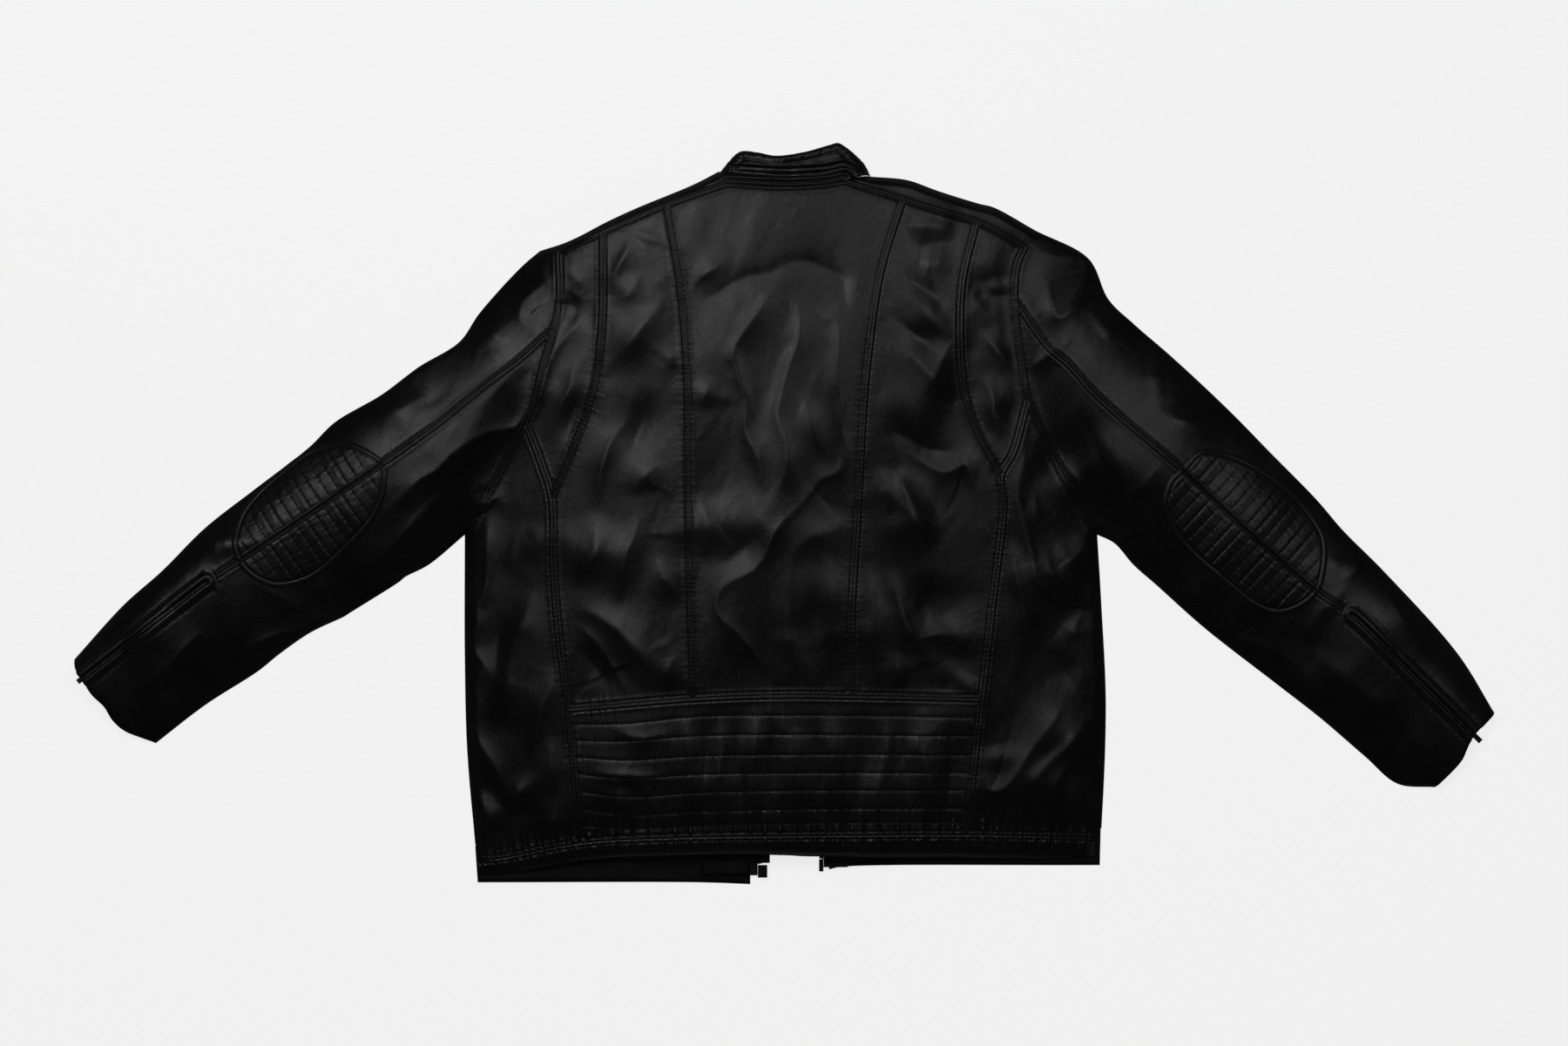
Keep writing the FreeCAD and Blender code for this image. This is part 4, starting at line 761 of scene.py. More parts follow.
class Near:
    """Distance from points to the nearest of several polylines, and the length along it."""

    CELL = 12.0

    def __init__(self, chains, reach, closed=False):
        self.reach = reach
        a, b, s, k = [], [], [], []
        for i, pts in enumerate(chains):
            pts = np.asarray(pts)
            if closed:
                pts = np.vstack([pts, pts[:1]])
            length = np.linalg.norm(np.diff(pts, axis=0), axis=1)
            a.append(pts[:-1])
            b.append(pts[1:])
            s.append(np.concatenate([[0], np.cumsum(length)[:-1]]))
            k.append(np.full(len(pts) - 1, i))
        self.a, self.b = np.vstack(a), np.vstack(b)
        self.s, self.k = np.concatenate(s), np.concatenate(k)
        self.cells = {}
        c = self.CELL
        lo = np.floor((np.minimum(self.a, self.b) - reach) / c).astype(int)
        hi = np.floor((np.maximum(self.a, self.b) + reach) / c).astype(int)
        for i in range(len(self.a)):
            for gx in range(lo[i, 0], hi[i, 0] + 1):
                for gy in range(lo[i, 1], hi[i, 1] + 1):
                    self.cells.setdefault((gx, gy), []).append(i)

    def __call__(self, pts):
        n = len(pts)
        d = np.full(n, 1e3)
        s = np.zeros(n)
        k = np.full(n, -1)
        side = np.ones(n)
        key = np.floor(pts / self.CELL).astype(int)
        order = np.lexsort((key[:, 1], key[:, 0]))
        ks = key[order]
        cut = np.flatnonzero(np.any(np.diff(ks, axis=0) != 0, axis=1)) + 1
        for group in np.split(order, cut):
            if not len(group):
                continue
            near = self.cells.get(tuple(key[group[0]]))
            if near is None:
                continue
            p = pts[group][:, None]
            a, b = self.a[near], self.b[near]
            ab = b - a
            ll = np.sum(ab * ab, 1)
            t = np.clip(np.sum((p - a) * ab, 2) / ll, 0, 1)
            v = p - (a + t[..., None] * ab)
            dd = np.sqrt(np.sum(v * v, 2))
            j = np.argmin(dd, 1)
            r = np.arange(len(group))
            d[group] = dd[r, j]
            s[group] = self.s[near][j] + t[r, j] * np.sqrt(ll[j])
            k[group] = self.k[near][j]
            side[group] = np.sign(ab[j, 0] * v[r, j, 1] - ab[j, 1] * v[r, j, 0] + 1e-12)
        return d, s, k, side


# ---------------------------------------------------------------- base shape on a raster
CELL = 1.25
GX = np.arange(-716.0, 716.0, CELL)
GY = np.arange(-386.0, 386.0, CELL)
RX, RY = np.meshgrid(GX, GY)


def sample(field, x, y):
    u = np.clip((x - GX[0]) / CELL, 0, len(GX) - 1.001)
    v = np.clip((y - GY[0]) / CELL, 0, len(GY) - 1.001)
    i, j = u.astype(int), v.astype(int)
    u, v = u - i, v - j
    return ((field[j, i] * (1 - u) + field[j, i + 1] * u) * (1 - v)
            + (field[j + 1, i] * (1 - u) + field[j + 1, i + 1] * u) * v)


def blurred(field, size):
    ky = np.fft.fftfreq(field.shape[0], CELL)[:, None]
    kx = np.fft.rfftfreq(field.shape[1], CELL)[None]
    g = np.exp(-2 * (math.pi * size) ** 2 * (kx * kx + ky * ky))
    return np.fft.irfft2(np.fft.rfft2(field) * g, field.shape)


def noise(size, seed, stretch=1.0, lean=0.0):
    """Soft random field of that grain size, stretched along the body, leaning to one side."""
    f = np.random.default_rng(seed).standard_normal(RX.shape)
    fy = np.fft.fftfreq(f.shape[0], CELL)[:, None]
    fx = np.fft.rfftfreq(f.shape[1], CELL)[None]
    ky = (fy * math.cos(lean) + fx * math.sin(lean)) * stretch
    kx = fx * math.cos(lean) - fy * math.sin(lean)
    f = np.fft.irfft2(np.fft.rfft2(f) * np.exp(-2 * (math.pi * size) ** 2 * (kx * kx + ky * ky)), f.shape)
    return f / f.std()


def smooth(a, b, x):
    t = np.clip((x - a) / (b - a), 0, 1)
    return t * t * (3 - 2 * t)


def lens(stations):
    """Height of a sleeve: two arcs over each line between the upper and the lower edge."""
    z = np.full(RX.shape, np.nan)
    fill = np.full(RX.shape, 2.5)
    for (u0, l0, f0, h0), (u1, l1, f1, h1) in zip(stations[:-1], stations[1:]):
        u0, l0, u1, l1 = (np.array(q, float) for q in (u0, l0, u1, l1))
        # along the sleeve a solves cross(L(a)-U(a), P-U(a)) = 0
        e0, e1 = l0 - u0, (l1 - l0) - (u1 - u0)
        g = u1 - u0
        px, py = RX - u0[0], RY - u0[1]
        c0 = e0[0] * py - e0[1] * px
        c1 = e1[0] * py - e1[1] * px - (e0[0] * g[1] - e0[1] * g[0])
        c2 = -(e1[0] * g[1] - e1[1] * g[0])
        if abs(c2) < 1e-9:
            a = -c0 / c1
        else:
            q = np.sqrt(np.maximum(c1 * c1 - 4 * c2 * c0, 0))
            r1, r2 = (-c1 + q) / (2 * c2), (-c1 - q) / (2 * c2)
            a = np.where(np.abs(r1 - 0.5) < np.abs(r2 - 0.5), r1, r2)
        ok = (a >= -0.001) & (a <= 1.001)
        ux, uy = u0[0] + g[0] * a, u0[1] + g[1] * a
        ex, ey = e0[0] + e1[0] * a, e0[1] + e1[1] * a
        width = np.hypot(ex, ey)
        b = ((RX - ux) * ex + (RY - uy) * ey) / width ** 2
        f = f0 + (f1 - f0) * a
        top = h0 + (h1 - h0) * a
        reach = np.where(b < f, f, 1 - f) * width
        rise = top - 2.5
        radius = (reach ** 2 + rise ** 2) / (2 * rise)
        off = np.minimum(np.abs(b - f) * width, reach)
        h = top - (radius - np.sqrt(np.maximum(radius ** 2 - off ** 2, 0)))
        z = np.where(ok & np.isnan(z), h, z)
    return np.where(np.isnan(z), fill, z)


def torso_outline():
    return outline([("TL", 0, 5), ("TR", 0, 5), ("AR", 0, 7), ("ER", 0, 4), ("HB", 7, 0), ("EL", 3, 0), ("AL", 7, 0)])


raster_pts = np.stack([RX.ravel(), RY.ravel()], 1)
base = 44.0 - RX ** 2 / 2600.0 - 0.00022 * np.maximum(RY - 179.0, 0) ** 2
torso = torso_outline()
arm_lines = [LINES["AL"][0][::4], LINES["AR"][0][::4]]
dist = Near(arm_lines, 84.0)(raster_pts)[0].reshape(RX.shape)
is_torso = inside(raster_pts, torso).reshape(RX.shape)
signed = np.where(is_torso, -dist, dist)
sleeve = np.where(RX < 0, lens(STATIONS["left"]), lens(STATIONS["right"]))
sleeve = blurred(sleeve, 5.0)
base = base + (sleeve - base) * smooth(-22.0, 46.0, signed)
base = base - 5.0 * smooth(-262.0, -352.0, RY) * (np.abs(RX) < 330)
base = blurred(base, 4.0)

folds = np.zeros(RX.shape)
rng = np.random.default_rng(77)
small = []
while len(small) < 330:
    cx, cy = rng.uniform(-640, 650), rng.uniform(-300, 270)
    if abs(cx) < 90 and cy > 200:
        continue
    arm = abs(cx) > 300
    lean = rng.normal(1.35 if cx > 0 else 1.8, 0.5)
    if arm:
        lean = rng.normal(-0.8 if cx > 0 else 0.6, 0.7)
    long = rng.uniform(12, 42)
    curl = rng.normal(0, 0.35)
    ctrl = []
    for u in (-0.5, 0.0, 0.5):
        a = lean + curl * u
        ctrl.append((cx + u * long * math.cos(a), cy + u * long * math.sin(a)))
    small.append(("x", ctrl))
for kind, ctrl in FOLDS + small:
    width, tall, crest = SHAPES[kind]
    pts = spline(ctrl, 4.0)[0]
    pad = width * 4.2
    lo, hi = pts.min(0) - pad, pts.max(0) + pad
    i0, i1 = np.searchsorted(GX, (lo[0], hi[0]))
    j0, j1 = np.searchsorted(GY, (lo[1], hi[1]))
    x, y = RX[j0:j1, i0:i1], RY[j0:j1, i0:i1]
    best = np.full(x.shape, 1e9)
    at = np.zeros(x.shape)
    length = np.concatenate([[0], np.cumsum(np.linalg.norm(np.diff(pts, axis=0), axis=1))])
    for n in range(len(pts) - 1):
        a, ab = pts[n], pts[n + 1] - pts[n]
        t = np.clip(((x - a[0]) * ab[0] + (y - a[1]) * ab[1]) / max(ab @ ab, 1e-9), 0, 1)
        d = (x - a[0] - t * ab[0]) ** 2 + (y - a[1] - t * ab[1]) ** 2
        m = d < best
        best[m] = d[m]
        at[m] = (length[n] + t * (length[n + 1] - length[n]))[m]
    u = at / length[-1]
    end = min(0.5, 55.0 / length[-1])
    taper = smooth(0, end, u) * smooth(1, 1 - end, u)
    if length[-1] < 22:
        taper = 0.55 + 0.45 * taper
    w = width * (0.6 + 0.4 * taper)
    far = np.sqrt(best + crest * crest) - crest
    ridge = np.exp(-far / w) * smooth(pad, pad * 0.6, np.sqrt(best))
    folds[j0:j1, i0:i1] += tall * min(1.0, (length[-1] / 85.0) ** 0.6) * taper * ridge
warp_x, warp_y = noise(13.0, 3) * 1.5, noise(13.0, 4) * 1.5
folds = sample(folds, RX + warp_x, RY + warp_y)
loose = noise(20.0, 11, 4.0, 0.35) * 1.1 + noise(8.0, 12, 3.2, 0.35) * 0.13 + noise(2.6, 13, 2.4, 0.35) * 0.05
field = base + folds + loose * (1.0 - 0.25 * smooth(-30, 30, signed))

# ---------------------------------------------------------------- seams
SEAMS = ["YL", "YR", "N", "PL", "PR", "CL", "CR", "AL", "AR", "SL", "SR", "W", "H", "LS", "RS"]
seam_chains = []
for name in SEAMS:
    pts, marks = LINES[name]
    if name == "LS":
        pts = pts[:marks[11] + 1]
    if name == "RS":
        pts = pts[:marks[12] + 1]
    seam_chains.append(pts)
zip_chains = [LINES["LS"][0][LINES["LS"][1][11]:], LINES["RS"][0][LINES["RS"][1][12]:]]
near_seam = Near(seam_chains, 26.0)
near_zip = Near(zip_chains, 14.0)
near_quilt = Near([spline(q, 2.0)[0] for q in QUILTING["waist"]], 14.0)
EDGES = {   # silhouette group: lines, how far the roll of the edge reaches
    "side": (["EL", "ER"], 13.0), "yoke": (["TL", "TR"], 11.0),
    "sleeve": (["LU", "LL", "RU", "RL"], 5.0), "cuff": (["LC", "RC"], 1.6), "neck": (["KT"], 6.0),
}
near_edge = {key: (Near([LINES[n][0] for n in names], reach + 2), reach) for key, (names, reach) in EDGES.items()}
waist_outline = outline(LOOPS["waist_quilted_panel"])
hem_index = SEAMS.index("H")
waist_index = SEAMS.index("W")
neck_index = SEAMS.index("N")


def ripple(s, k, seed=0):
    """Uneven puckers along a seam."""
    r = np.zeros(len(s))
    for i, wave in enumerate((3.4, 4.9, 7.3, 12.0)):
        r += (0.55, 1.0, 0.9, 0.6)[i] * np.cos(2 * math.pi * s / wave + 2.4 * i + 1.7 * k + seed + 1.3 * np.sin(s / (31.0 + 7 * i) + k))
    return r / 1.8


def edge_roll(pts):
    f = np.ones(len(pts))
    for near, reach in near_edge.values():
        d = near(pts)[0]
        t = np.clip(d / reach, 0, 1)
        f *= np.sqrt(np.clip(1 - (1 - t) ** 2, 0, 1))
    return f


def seam_profile(pts):
    d, s, k, side = near_seam(pts)
    hem = k == hem_index
    waist = k == waist_index
    lean = side * np.where(k % 2 == 0, 1.0, -1.0)
    h = -0.5 * np.exp(-((d - 0.1) / 0.6) ** 2) + 0.5 * np.exp(-((d - 1.7) / 1.3) ** 2) * (1.0 + 0.35 * lean)
    h -= 0.9 * np.exp(-((d - 3.6) / 0.7) ** 2)
    h += 0.4 * smooth(8.0, 4.2, d) * (d > 3.6) + 0.4 * (d <= 3.6)
    bead = 0.5 + 0.5 * np.cos(2 * math.pi * s / 4.0 + 0.5 * np.sin(s / 9.0))
    h += 0.42 * (bead - 0.5) * np.exp(-((d - 1.8) / 1.2) ** 2) * (0.75 + 0.25 * lean)
    h -= 0.3 * (1 - bead) ** 2 * np.exp(-((d - 3.6) / 0.6) ** 2)
    puck = ripple(s, k) * smooth(1.2, 4.4, d)
    amp = np.where(hem, 1.6, np.where(waist, 0.3, 0.12))
    reach = np.where(hem, 13.0, np.where(waist, 9.0, 5.0))
    h += amp * puck * np.exp(-np.maximum(d - 3.6, 0) / reach)
    tuck = np.cos(2 * math.pi * s / 15.0 + 1.6 * np.sin(s / 47.0) + 0.7 * np.sin(s / 13.0))
    h += np.where(hem, 1.1 * np.maximum(tuck, -0.4) * smooth(2.0, 6.0, d) * np.exp(-np.maximum(d - 5.0, 0) / 8.0), 0)
    far = d > 25
    return np.where(far, 0, h), d


def heights(pts, rolled=None):
    """Height of the upper layer at the points."""
    z = sample(field, pts[:, 0], pts[:, 1])
    h, d = seam_profile(pts)
    q = inside(pts, waist_outline)
    if q.any():
        dq, sq, kq, _ = near_quilt(pts[q])
        g = 0.42 * (1 - np.exp(-dq / 1.1)) - 0.4 + 0.15 * ripple(sq * 1.1, kq) * np.exp(-dq / 4.5)
        h[q] += g * smooth(1.0, 5.0, d[q])
    zd = near_zip(pts)[0]
    m = zd < 13.5
    if m.any():
        t = zd[m]
        welt = 1.5 * smooth(1.2, 2.6, t) * smooth(9.0, 6.2, t) - 0.55 * np.exp(-((t - 7.6) / 0.7) ** 2) - 0.4 * np.exp(-((t - 10.2) / 0.7) ** 2)
        floor = 22.6
        z[m] = np.maximum(z[m], z[m] + (floor - z[m]) * smooth(11.0, 7.0, t) * (z[m] > 12))
        h[m] = h[m] * smooth(9.0, 13.0, t) + welt
    f = edge_roll(pts) if rolled is None else rolled
    return 1.4 + np.maximum(z + h * np.clip(f * 1.2, 0, 1) - 1.4, 0) * f


# ---------------------------------------------------------------- solids from outlines
def hexes(loop, step):
    lo, hi = loop.min(0), loop.max(0)
    ys = np.arange(math.floor(lo[1] / step) * step, hi[1], step * 0.866)
    rows = []
    for y in ys:
        n = round(y / (step * 0.866))
        x = np.arange(math.floor(lo[0] / step) * step + (step / 2 if n % 2 else 0), hi[0], step)
        rows.append(np.stack([x, np.full(len(x), y)], 1))
    return np.vstack(rows)


def triangulate(loop, inner, hole=()):
    pts = np.vstack([loop, inner]) if len(inner) else loop
    n = len(loop)
    origin = pts.mean(0)
    edges = [(i, (i + 1) % n) for i in range(n)]
    first = len(pts)
    if len(hole):
        pts = np.vstack([pts, hole])
        edges += [(first + i, first + (i + 1) % len(hole)) for i in range(len(hole))]
    res = delaunay_2d_cdt([Vector(p) for p in pts - origin], edges, [], 1, 1e-5)
    out = np.array([tuple(v) for v in res[0]]) + origin
    where = {}
    for new, old in enumerate(res[3]):
        for o in old:
            where[o] = new
    for new, old in enumerate(res[3]):
        if old:
            out[new] = pts[old[0]]
    tri = [list(f) for f in res[2]]
    ring = [where[i] for i in range(n)]
    if len(hole):
        middle = np.array([out[f].mean(0) for f in tri])
        tri = [f for f, cut in zip(tri, inside(middle, hole)) if not cut]
        return out, tri, ring, [where[first + i] for i in range(len(hole))]
    return out, tri, ring


ROWS = {   # rows of mesh points beside the seams and edges: distance, spacing
    "seam": [(0.0, 1.3), (0.75, 1.3), (1.7, 1.3), (2.7, 1.3), (3.6, 1.3), (4.6, 1.4), (6.0, 1.7), (7.8, 1.9)],
    "edge": [(0.35, 1.4), (1.1, 1.4), (2.3, 1.6), (4.0, 1.9), (6.2, 1.9)],
    "quilt": [(0.0, 1.5), (0.9, 1.5), (2.0, 1.7), (3.6, 1.9)],
    "zip": [(0.9, 1.3), (1.8, 1.3), (2.7, 1.4), (4.2, 1.7), (6.2, 1.5), (7.6, 1.4), (9.0, 1.5), (10.4, 1.6)],
}


def row_points(chains, rows, near, closed=False):
    out = []
    for pts in chains:
        length = np.concatenate([[0], np.cumsum(np.linalg.norm(np.diff(pts, axis=0), axis=1))])
        for off, step in rows:
            n = max(2, int(length[-1] / step))
            s = (np.arange(n) + 0.5) * length[-1] / n
            x, y = np.interp(s, length, pts[:, 0]), np.interp(s, length, pts[:, 1])
            e = 0.8
            tx = np.interp(s + e, length, pts[:, 0]) - np.interp(s - e, length, pts[:, 0])
            ty = np.interp(s + e, length, pts[:, 1]) - np.interp(s - e, length, pts[:, 1])
            m = np.hypot(tx, ty)
            tx, ty = tx / m, ty / m
            for sign in ((1, -1) if off else (1,)):
                q = np.stack([x - ty * off * sign, y + tx * off * sign], 1)
                d = near(q)[0]
                out.append(q[np.abs(d - off) < 0.2])
    return np.vstack(out)


edge_all = Near([LINES[n][0] for names, _ in EDGES.values() for n in names], 14.0)
seam_rows = row_points(seam_chains, ROWS["seam"], near_seam)
edge_rows = row_points([LINES[n][0] for names, _ in EDGES.values() for n in names], ROWS["edge"], edge_all)
zip_rows = row_points(zip_chains, ROWS["zip"], near_zip)
quilt_rows = row_points([spline(q, 2.0)[0] for q in QUILTING["waist"]], ROWS["quilt"], near_quilt)


def spaced(pts, taken, gap):
    """Those points that keep gap from the points already taken."""
    if not len(pts) or not len(taken):
        return pts
    c = gap
    cells = {}
    for i, key in enumerate(map(tuple, np.floor(taken / c).astype(int))):
        cells.setdefault(key, []).append(i)
    keep = np.ones(len(pts), bool)
    keys = np.floor(pts / c).astype(int)
    for i, (gx, gy) in enumerate(keys):
        for dx in (-1, 0, 1):
            for dy in (-1, 0, 1):
                for j in cells.get((gx + dx, gy + dy), ()):
                    if (pts[i, 0] - taken[j, 0]) ** 2 + (pts[i, 1] - taken[j, 1]) ** 2 < gap * gap:
                        keep[i] = False
                        break
                if not keep[i]:
                    break
            if not keep[i]:
                break
    return pts[keep]


def inner_points(loop, step, rows=True, quilted=False):
    border = Near([loop], 4.0, closed=True)
    hexed = hexes(loop, step)
    hexed = hexed[inside(hexed, loop)]
    hexed = hexed[border(hexed)[0] > step * 0.55]
    if not rows:
        return hexed
    picked = []
    sets = [(seam_rows, near_seam, 8.6), (zip_rows, near_zip, 11.2), (edge_rows, edge_all, 7.0)]
    if quilted:
        sets.insert(1, (quilt_rows, near_quilt, 4.6))
    taken = np.zeros((0, 2))
    for pts, near, reach in sets:
        pts = pts[inside(pts, loop)]
        if len(pts):
            pts = pts[border(pts)[0] > 0.45]
        if len(pts):
            pts = spaced(pts, taken, 0.95)
            taken = np.vstack([taken, pts])
        hexed = hexed[near(hexed)[0] > reach]
    return np.vstack([taken, hexed])


MESHES = []   # top meshes, to give panels that meet one shading


def closed_solid(name, loop, top_pts, top_fn, low_fn, low_step=5.0):
    """Closed solid between two height functions over an outline."""
    xy, tri, ring = triangulate(loop, top_pts)
    lxy, ltri, lring = triangulate(loop, inner_points(loop, low_step, rows=False))
    z = top_fn(xy)
    lz = low_fn(lxy)
    lz[lring] = np.minimum(lz[lring], z[ring] - 0.12)
    n = len(xy)
    verts = np.vstack([np.column_stack([xy, z]), np.column_stack([lxy, lz])])
    faces = tri + [[n + i for i in reversed(f)] for f in ltri]
    for i in range(len(ring)):
        a, b = ring[i], ring[(i + 1) % len(ring)]
        c, e = n + lring[i], n + lring[(i + 1) % len(ring)]
        faces.append([a, c, e, b])
    MESHES.append({"name": name, "verts": verts, "faces": faces, "top": n, "ntri": len(tri)})
    return MESHES[-1]


low_field = None


def lows(thick):
    """Lowest of the upper layer nearby, less a thickness, as the under side of a panel."""
    def fn(pts):
        z = sample(low_field, pts[:, 0], pts[:, 1])
        f = edge_roll(pts)
        return np.maximum(1.0 + np.maximum(z - thick - 1.0, 0) * f, 0.9)
    return fn


def lowest(field, cells):
    out = field.copy()
    for axis in (0, 1):
        acc = out.copy()
        for k in range(1, cells + 1):
            acc = np.minimum(acc, np.roll(out, k, axis))
            acc = np.minimum(acc, np.roll(out, -k, axis))
        out = acc
    return out


low_field = lowest(field, 3) - 1.2


def plain(pts):
    return heights(pts)


SOLIDS = {}
for node, parts in LOOPS.items():
    if node == "collar_band":
        continue
    loop = outline(parts)
    SOLIDS[node] = closed_solid(node, loop, inner_points(loop, 2.0, quilted=node == "waist_quilted_panel"), plain, lows(1.2))

# Elbow patches lie on the sleeve, with a stitched rim and quilting across.
patch_axis = {side: LINES[name][0] for side, name in (("left", "LS"), ("right", "RS"))}


def patch_top(side):
    rim = Near([spline(PATCHES[side], 1.3, closed=True)[0]], 60.0, closed=True)
    near_q = Near([spline(q, 2.0)[0] for q in QUILTING[side + "_patch"]], 14.0)
    mid = Near([patch_axis[side]], 20.0)

    def fn(pts):
        z = sample(field, pts[:, 0], pts[:, 1])
        de = rim(pts)[0]
        dq, sq, kq, _ = near_q(pts)
        dm, sm, _, _ = mid(pts)
        h = 0.25 + 0.95 * smooth(0.0, 1.6, de) + 0.35 * np.exp(-((de - 3.4) / 1.2) ** 2)
        h -= 0.5 * np.exp(-((de - 1.9) / 0.5) ** 2) + 0.85 * np.exp(-((de - 5.4) / 0.7) ** 2)
        inner = smooth(5.4, 8.2, de)
        h += inner * ((0.5 + 0.18 * np.sin(kq * 2.3)) * (1 - np.exp(-dq / 1.1)) - 0.2 + 0.22 * ripple(sq, kq) * np.exp(-dq / 3.5)) * smooth(1.5, 4.8, dm)
        h += -1.3 * np.exp(-(dm / 0.8) ** 2) + 0.5 * np.exp(-((dm - 2.0) / 1.0) ** 2) - 0.5 * np.exp(-((dm - 3.6) / 0.55) ** 2)
        f = edge_roll(pts)
        return 1.4 + (z - 1.4) * f + h
    return fn


def patch_points(side, loop):
    rim_curve = spline(PATCHES[side], 1.3, closed=True)[0]
    rim = Near([rim_curve], 14.0, closed=True)
    closed = np.vstack([rim_curve, rim_curve[:1]])
    near_q_lines = [spline(q, 2.0)[0] for q in QUILTING[side + "_patch"]]
    near_q = Near(near_q_lines, 10.0)
    mid = Near([patch_axis[side]], 14.0)
    rows = row_points([closed], [(0.7, 1.3), (1.4, 1.3), (2.3, 1.3), (3.4, 1.3), (4.6, 1.3), (5.4, 1.3), (6.4, 1.5), (8.0, 1.6)], rim)
    mids = row_points([patch_axis[side]], ROWS["seam"][:6], mid)
    quilts = row_points(near_q_lines, [(0.0, 1.4), (0.8, 1.4), (1.8, 1.5), (3.2, 1.6)], near_q)
    border = Near([loop], 4.0, closed=True)
    taken = np.zeros((0, 2))
    for pts in (mids, rows, quilts):
        pts = pts[inside(pts, loop)]
        pts = pts[border(pts)[0] > 0.4]
        pts = spaced(pts, taken, 0.85)
        taken = np.vstack([taken, pts])
    hexed = hexes(loop, 1.7)
    hexed = hexed[inside(hexed, loop)]
    hexed = hexed[border(hexed)[0] > 1.0]
    hexed = spaced(hexed, taken, 1.2)
    return np.vstack([taken, hexed])


for side in ("left", "right"):
    loop = spline(PATCHES[side], 1.3, closed=True)[0]
    x, y = loop.T
    if np.sum(x * np.roll(y, -1) - np.roll(x, -1) * y) < 0:
        loop = loop[::-1]
    SOLIDS[side + "_elbow_patch"] = closed_solid(side + "_elbow_patch", loop, patch_points(side, loop), patch_top(side), lows(-0.9), low_step=4.0)

# Collar: a rolled neck band with two rows of stitches, and above it a gathered stand.
neck_line = LINES["N"][0]
near_neck = Near([neck_line], 60.0)
near_top = Near([LINES["KT"][0]], 60.0)


def collar_top(pts):
    d, s, _, _ = near_neck(pts)
    e, t, _, _ = near_top(pts)
    v = d
    z0 = sample(base, pts[:, 0], np.minimum(pts[:, 1], 322.0))
    arch = 44.0 - (pts[:, 0] - 10.0) ** 2 / 400.0
    z = z0 + (arch - z0) * smooth(2.0, 26.0, v) + 0.8
    h = 1.5 * np.exp(-((v - 2.3) / 1.7) ** 2) + 1.7 * np.exp(-((v - 7.2) / 2.0) ** 2) - 0.7 * np.exp(-((v - 4.7) / 0.6) ** 2)
    h += 0.15 * np.cos(2 * math.pi * s / 4.0) * np.exp(-((v - 2.4) / 1.4) ** 2)
    h += -1.3 * np.exp(-((v - 12.0) / 2.4) ** 2) - 1.5 * np.exp(-((v - 17.4) / 1.0) ** 2) + 1.1 * np.exp(-((v - 20.3) / 1.9) ** 2)
    h -= 0.9 * np.exp(-((e - 11.2) / 0.8) ** 2)
    h += 0.4 * ripple(t * 0.9, np.zeros(len(t)), 0.4) * smooth(10.0, 4.0, e) * 1.6
    h += 0.35 * noise_at(pts, 5)
    f = edge_roll(pts)
    return 1.4 + (z + h * np.clip(1.3 * f, 0, 1) - 1.4) * f


micro = noise(4.5, 21)


def noise_at(pts, _):
    return sample(micro, pts[:, 0], pts[:, 1])


def collar_low(pts):
    return np.maximum(collar_top(pts) - 3.2, 0.9)


loop = outline(LOOPS["collar_band"])
collar_rows = row_points([neck_line], [(r, 1.4) for r in (0.8, 1.8, 2.8, 3.8, 4.7, 5.6, 6.6, 7.8, 9.0, 10.5)], near_neck)
border = Near([loop], 4.0, closed=True)
pts = collar_rows[inside(collar_rows, loop)]
pts = pts[border(pts)[0] > 0.45]
fine = hexes(loop, 1.4)
fine = fine[inside(fine, loop)]
fine = fine[border(fine)[0] > 0.8]
SOLIDS["collar_band"] = closed_solid("collar_band", loop, np.vstack([pts, spaced(fine, pts, 1.0)]), collar_top, collar_low, low_step=3.0)


# ---------------------------------------------------------------- under layer
def under_bottom(pts):
    """The under layer's face on the floor, curling up where the leather folds round its edge."""
    f = np.ones(len(pts))
    for key in ("side", "yoke", "sleeve"):
        near, reach = near_edge[key]
        t = np.clip(near(pts)[0] / min(reach, 5.0), 0, 1)
        f *= np.sqrt(np.clip(1 - (1 - t) ** 2, 0, 1))
    return 0.15 + 1.15 * (1 - f)


def under_top(pts):
    return np.maximum(under_bottom(pts) + 0.05, 2.0 + 0.12 * noise_at(pts, 0) * 0.5)


def zip_slot(centre, along):
    """Opening of a pocket zip, walked clockwise."""
    ex = np.array(along) / math.hypot(*along)
    ey = np.array([-ex[1], ex[0]])
    corners = [(-76.0, -7.0), (-76.0, 7.0), (76.0, 7.0), (76.0, -7.0)]
    out = []
    for (u0, w0), (u1, w1) in zip(corners, corners[1:] + corners[:1]):
        n = max(1, int(math.hypot(u1 - u0, w1 - w0) / 4.0))
        out += [np.array(centre) + ex * (u0 + (u1 - u0) * i / n) + ey * (w0 + (w1 - w0) * i / n) for i in range(n)]
    return np.array(out)


